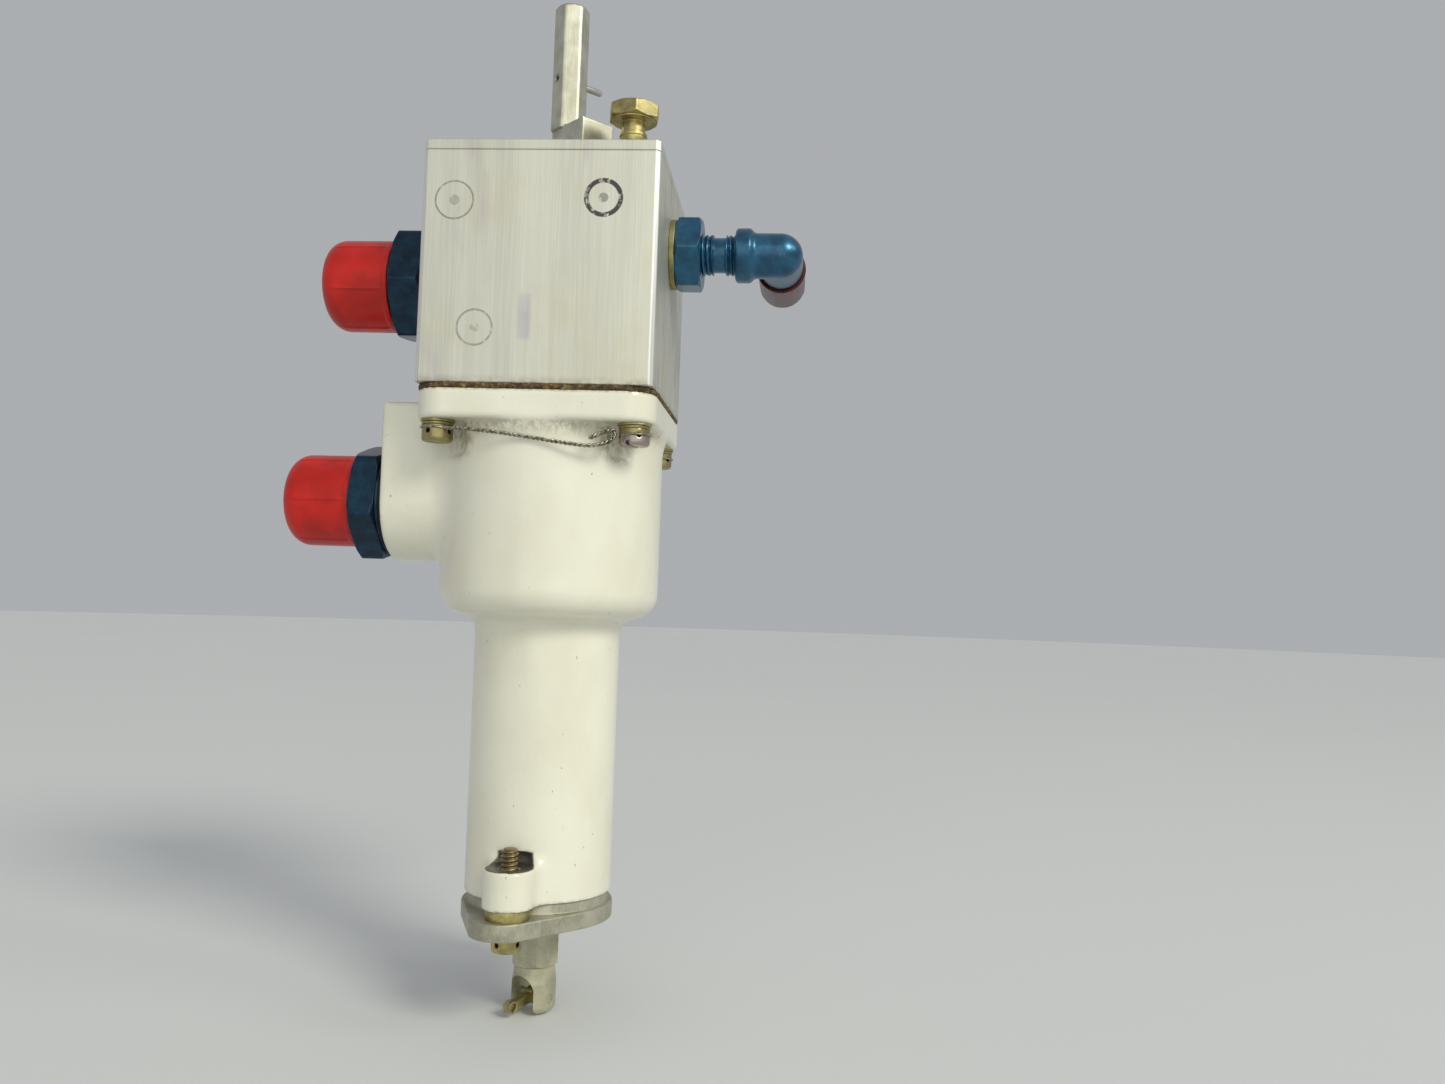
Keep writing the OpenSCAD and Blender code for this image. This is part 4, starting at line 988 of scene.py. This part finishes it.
def rolled_pin():
    """The rolled pin's outline carried from back to front, its two ends closed across the wall."""
    outline = pin_section(0.8, 0.27, 0.34)
    n = len(outline)
    reach = np.array([-3.6, -3.45, 9.15, 9.3])
    shrink = np.array([0.93, 1, 1, 0.93])
    c, s = math.cos(PIN_TURN), math.sin(PIN_TURN)
    rows = []
    for d, k in zip(reach, shrink):
        u, v = outline[:, 0] * k, outline[:, 1] * k
        rows.append(np.stack([d * c - u * s, d * s + u * c, PIN_Z + v], -1))
    points = np.concatenate(rows)
    walls = grid_faces(len(reach), n, False)
    half = n // 2
    i = np.arange(half - 1)
    cap = np.stack([i, i + 1, n - 2 - i, n - 1 - i], -1)
    return points, np.concatenate([walls, cap[:, ::-1], cap + n * (len(reach) - 1)])


piece("rolled_pin", rolled_pin(), "control_post", "plain_steel", ["post_spring_pin"], 40)

bolt_corner = BOLT_ACROSS * CORNER_OUT
bolt_line = rounded([
    (0, 42), (2.3, 42), (2.72, 42.5), (2.72, 65.2, 0.25), (5.2, 65.2, 0.15), (5.2, 65.6),
    (bolt_corner - 0.9, 65.6), (bolt_corner, 66.1), (bolt_corner, 68.5), (bolt_corner - 1.0, 69.1), (0, 69.1),
], 4, 0.14)
bolt = spun(turned(bolt_line, 96, BOLT_ACROSS, 65.55, 69.2, math.radians(73)), 0, *STOP)
sleeve_line = rounded([
    (2.78, 55.4), (3.1, 55.4), (3.1, 59.9), (2.95, 60.1), (3.1, 60.3), (3.1, 61.5), (3.28, 61.6, 0.05),
    (3.28, 62.4, 0.15), (2.78, 62.4),
], 4)
piece("stop_bolt_head", bolt, "valve_body", "gold_plating", ["stop_bolt"], 28)
piece("stop_bolt_collar", spun(turned(sleeve_line, 56), 0, *STOP),
      "valve_body", "gold_plating", ["stop_bolt_sleeve"], 50)

for node, width in (
    ("valve_block", 0.25), ("cover_plate", 0.22), ("end_plate", 0.35), ("fork_link", 0.25),
    ("lug_spacers", 0.15), ("gland_bushing", 0.2),
):
    soften(node, width)


# ---- room, lights and camera ----


def floor_finish(tone):
    """Plain pale paint with a trace of mottle."""
    f = Finish("pale_floor", roughness=0.9)
    f.set("Base Color", f.mix(f.noise(0.004, 2, 0.5), [t * 0.97 for t in tone], tone))
    return f.material


def floor_disc():
    """A flat round floor: two rings of points at one height and a middle point."""
    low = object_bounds()[0][2] - 0.0004
    angle = np.arange(96) * 2 * math.pi / 96
    rows = [np.stack([r * np.cos(angle), r * np.sin(angle), np.full(96, low)], -1) for r in (0.0, 0.6, 4.0)]
    mesh = bpy.data.meshes.new("floor")
    mesh.from_pydata(np.concatenate(rows).tolist(), [], grid_faces(3, 96, False).tolist())
    work = bmesh.new()
    work.from_mesh(mesh)
    bmesh.ops.remove_doubles(work, verts=work.verts, dist=1e-7)
    work.to_mesh(mesh)
    work.free()
    made = bpy.data.objects.new("floor", mesh)
    bpy.context.collection.objects.link(made)
    mesh.materials.append(floor_finish((0.68, 0.69, 0.70)))


floor_disc()

world = bpy.data.worlds.new("studio")
bpy.context.scene.world = world
world.use_nodes = True
sky = world.node_tree.nodes["Background"].inputs
sky["Color"].default_value = (0.93, 0.96, 1.0, 1)
sky["Strength"].default_value = 0.44


def lamp(name, kind, turn, rise, away, strength, colour, size):
    """A soft light seen from the part's middle at a turn from the front toward the right and a rise above
    level, both in degrees; size is a width in metres for an area and an angle in radians for a sun."""
    data = bpy.data.lights.new(name, kind)
    data.energy, data.color = strength, colour
    if kind == "SUN":
        data.angle = size
    else:
        data.size = size
    a, e = math.radians(turn), math.radians(rise)
    toward = Vector((math.cos(e) * math.sin(a), -math.cos(e) * math.cos(a), math.sin(e)))
    made = bpy.data.objects.new(name, data)
    made.location = toward * away
    made.rotation_euler = (-toward).to_track_quat("-Z", "Y").to_euler()
    bpy.context.collection.objects.link(made)


lamp("key", "SUN", 47, 35, 2.0, 1.55, (1.0, 0.99, 0.84), 0.35)
lamp("front", "AREA", 6, 12, 1.3, 4.4, (1.0, 1.0, 0.9), 1.3)
lamp("side", "AREA", 75, 30, 0.9, 0.8, (1.0, 0.99, 0.88), 0.25)

FOCAL, FRAME_WIDE, SENSOR = 1173.26, 1445, 36.0
EYE = np.array([61.714, -281.809, -47.216])
TILT = (-0.0515, 0.0708, 0.0291)


def camera_rows(ax, ay, az):
    """Rows right, down and forward of a view that starts along +Y and is turned about its own x, y and z."""
    cx, cy, cz = math.cos(ax), math.cos(ay), math.cos(az)
    sx, sy, sz = math.sin(ax), math.sin(ay), math.sin(az)
    about_x = np.array([[1, 0, 0], [0, cx, -sx], [0, sx, cx]])
    about_y = np.array([[cy, 0, sy], [0, 1, 0], [-sy, 0, cy]])
    about_z = np.array([[cz, -sz, 0], [sz, cz, 0], [0, 0, 1]])
    return about_z @ about_y @ about_x @ np.array([[1, 0, 0], [0, 0, -1], [0, 1, 0]])


def make_camera():
    """Puts the camera at EYE, looking along its rows: Blender's camera x is right, y up and z backward."""
    right, down, forward = camera_rows(*TILT)
    data = bpy.data.cameras.new("camera")
    data.sensor_fit, data.sensor_width, data.lens = "HORIZONTAL", SENSOR, FOCAL / FRAME_WIDE * SENSOR
    data.clip_start, data.clip_end = 0.01, 50
    made = bpy.data.objects.new("camera", data)
    bpy.context.collection.objects.link(made)
    place = Matrix.Identity(4)
    for i in range(3):
        place[i][0], place[i][1], place[i][2] = right[i], -down[i], -forward[i]
        place[i][3] = set_down(EYE)[i]
    made.matrix_world = place
    bpy.context.scene.camera = made


make_camera()
bpy.context.scene.view_settings.view_transform = "Standard"
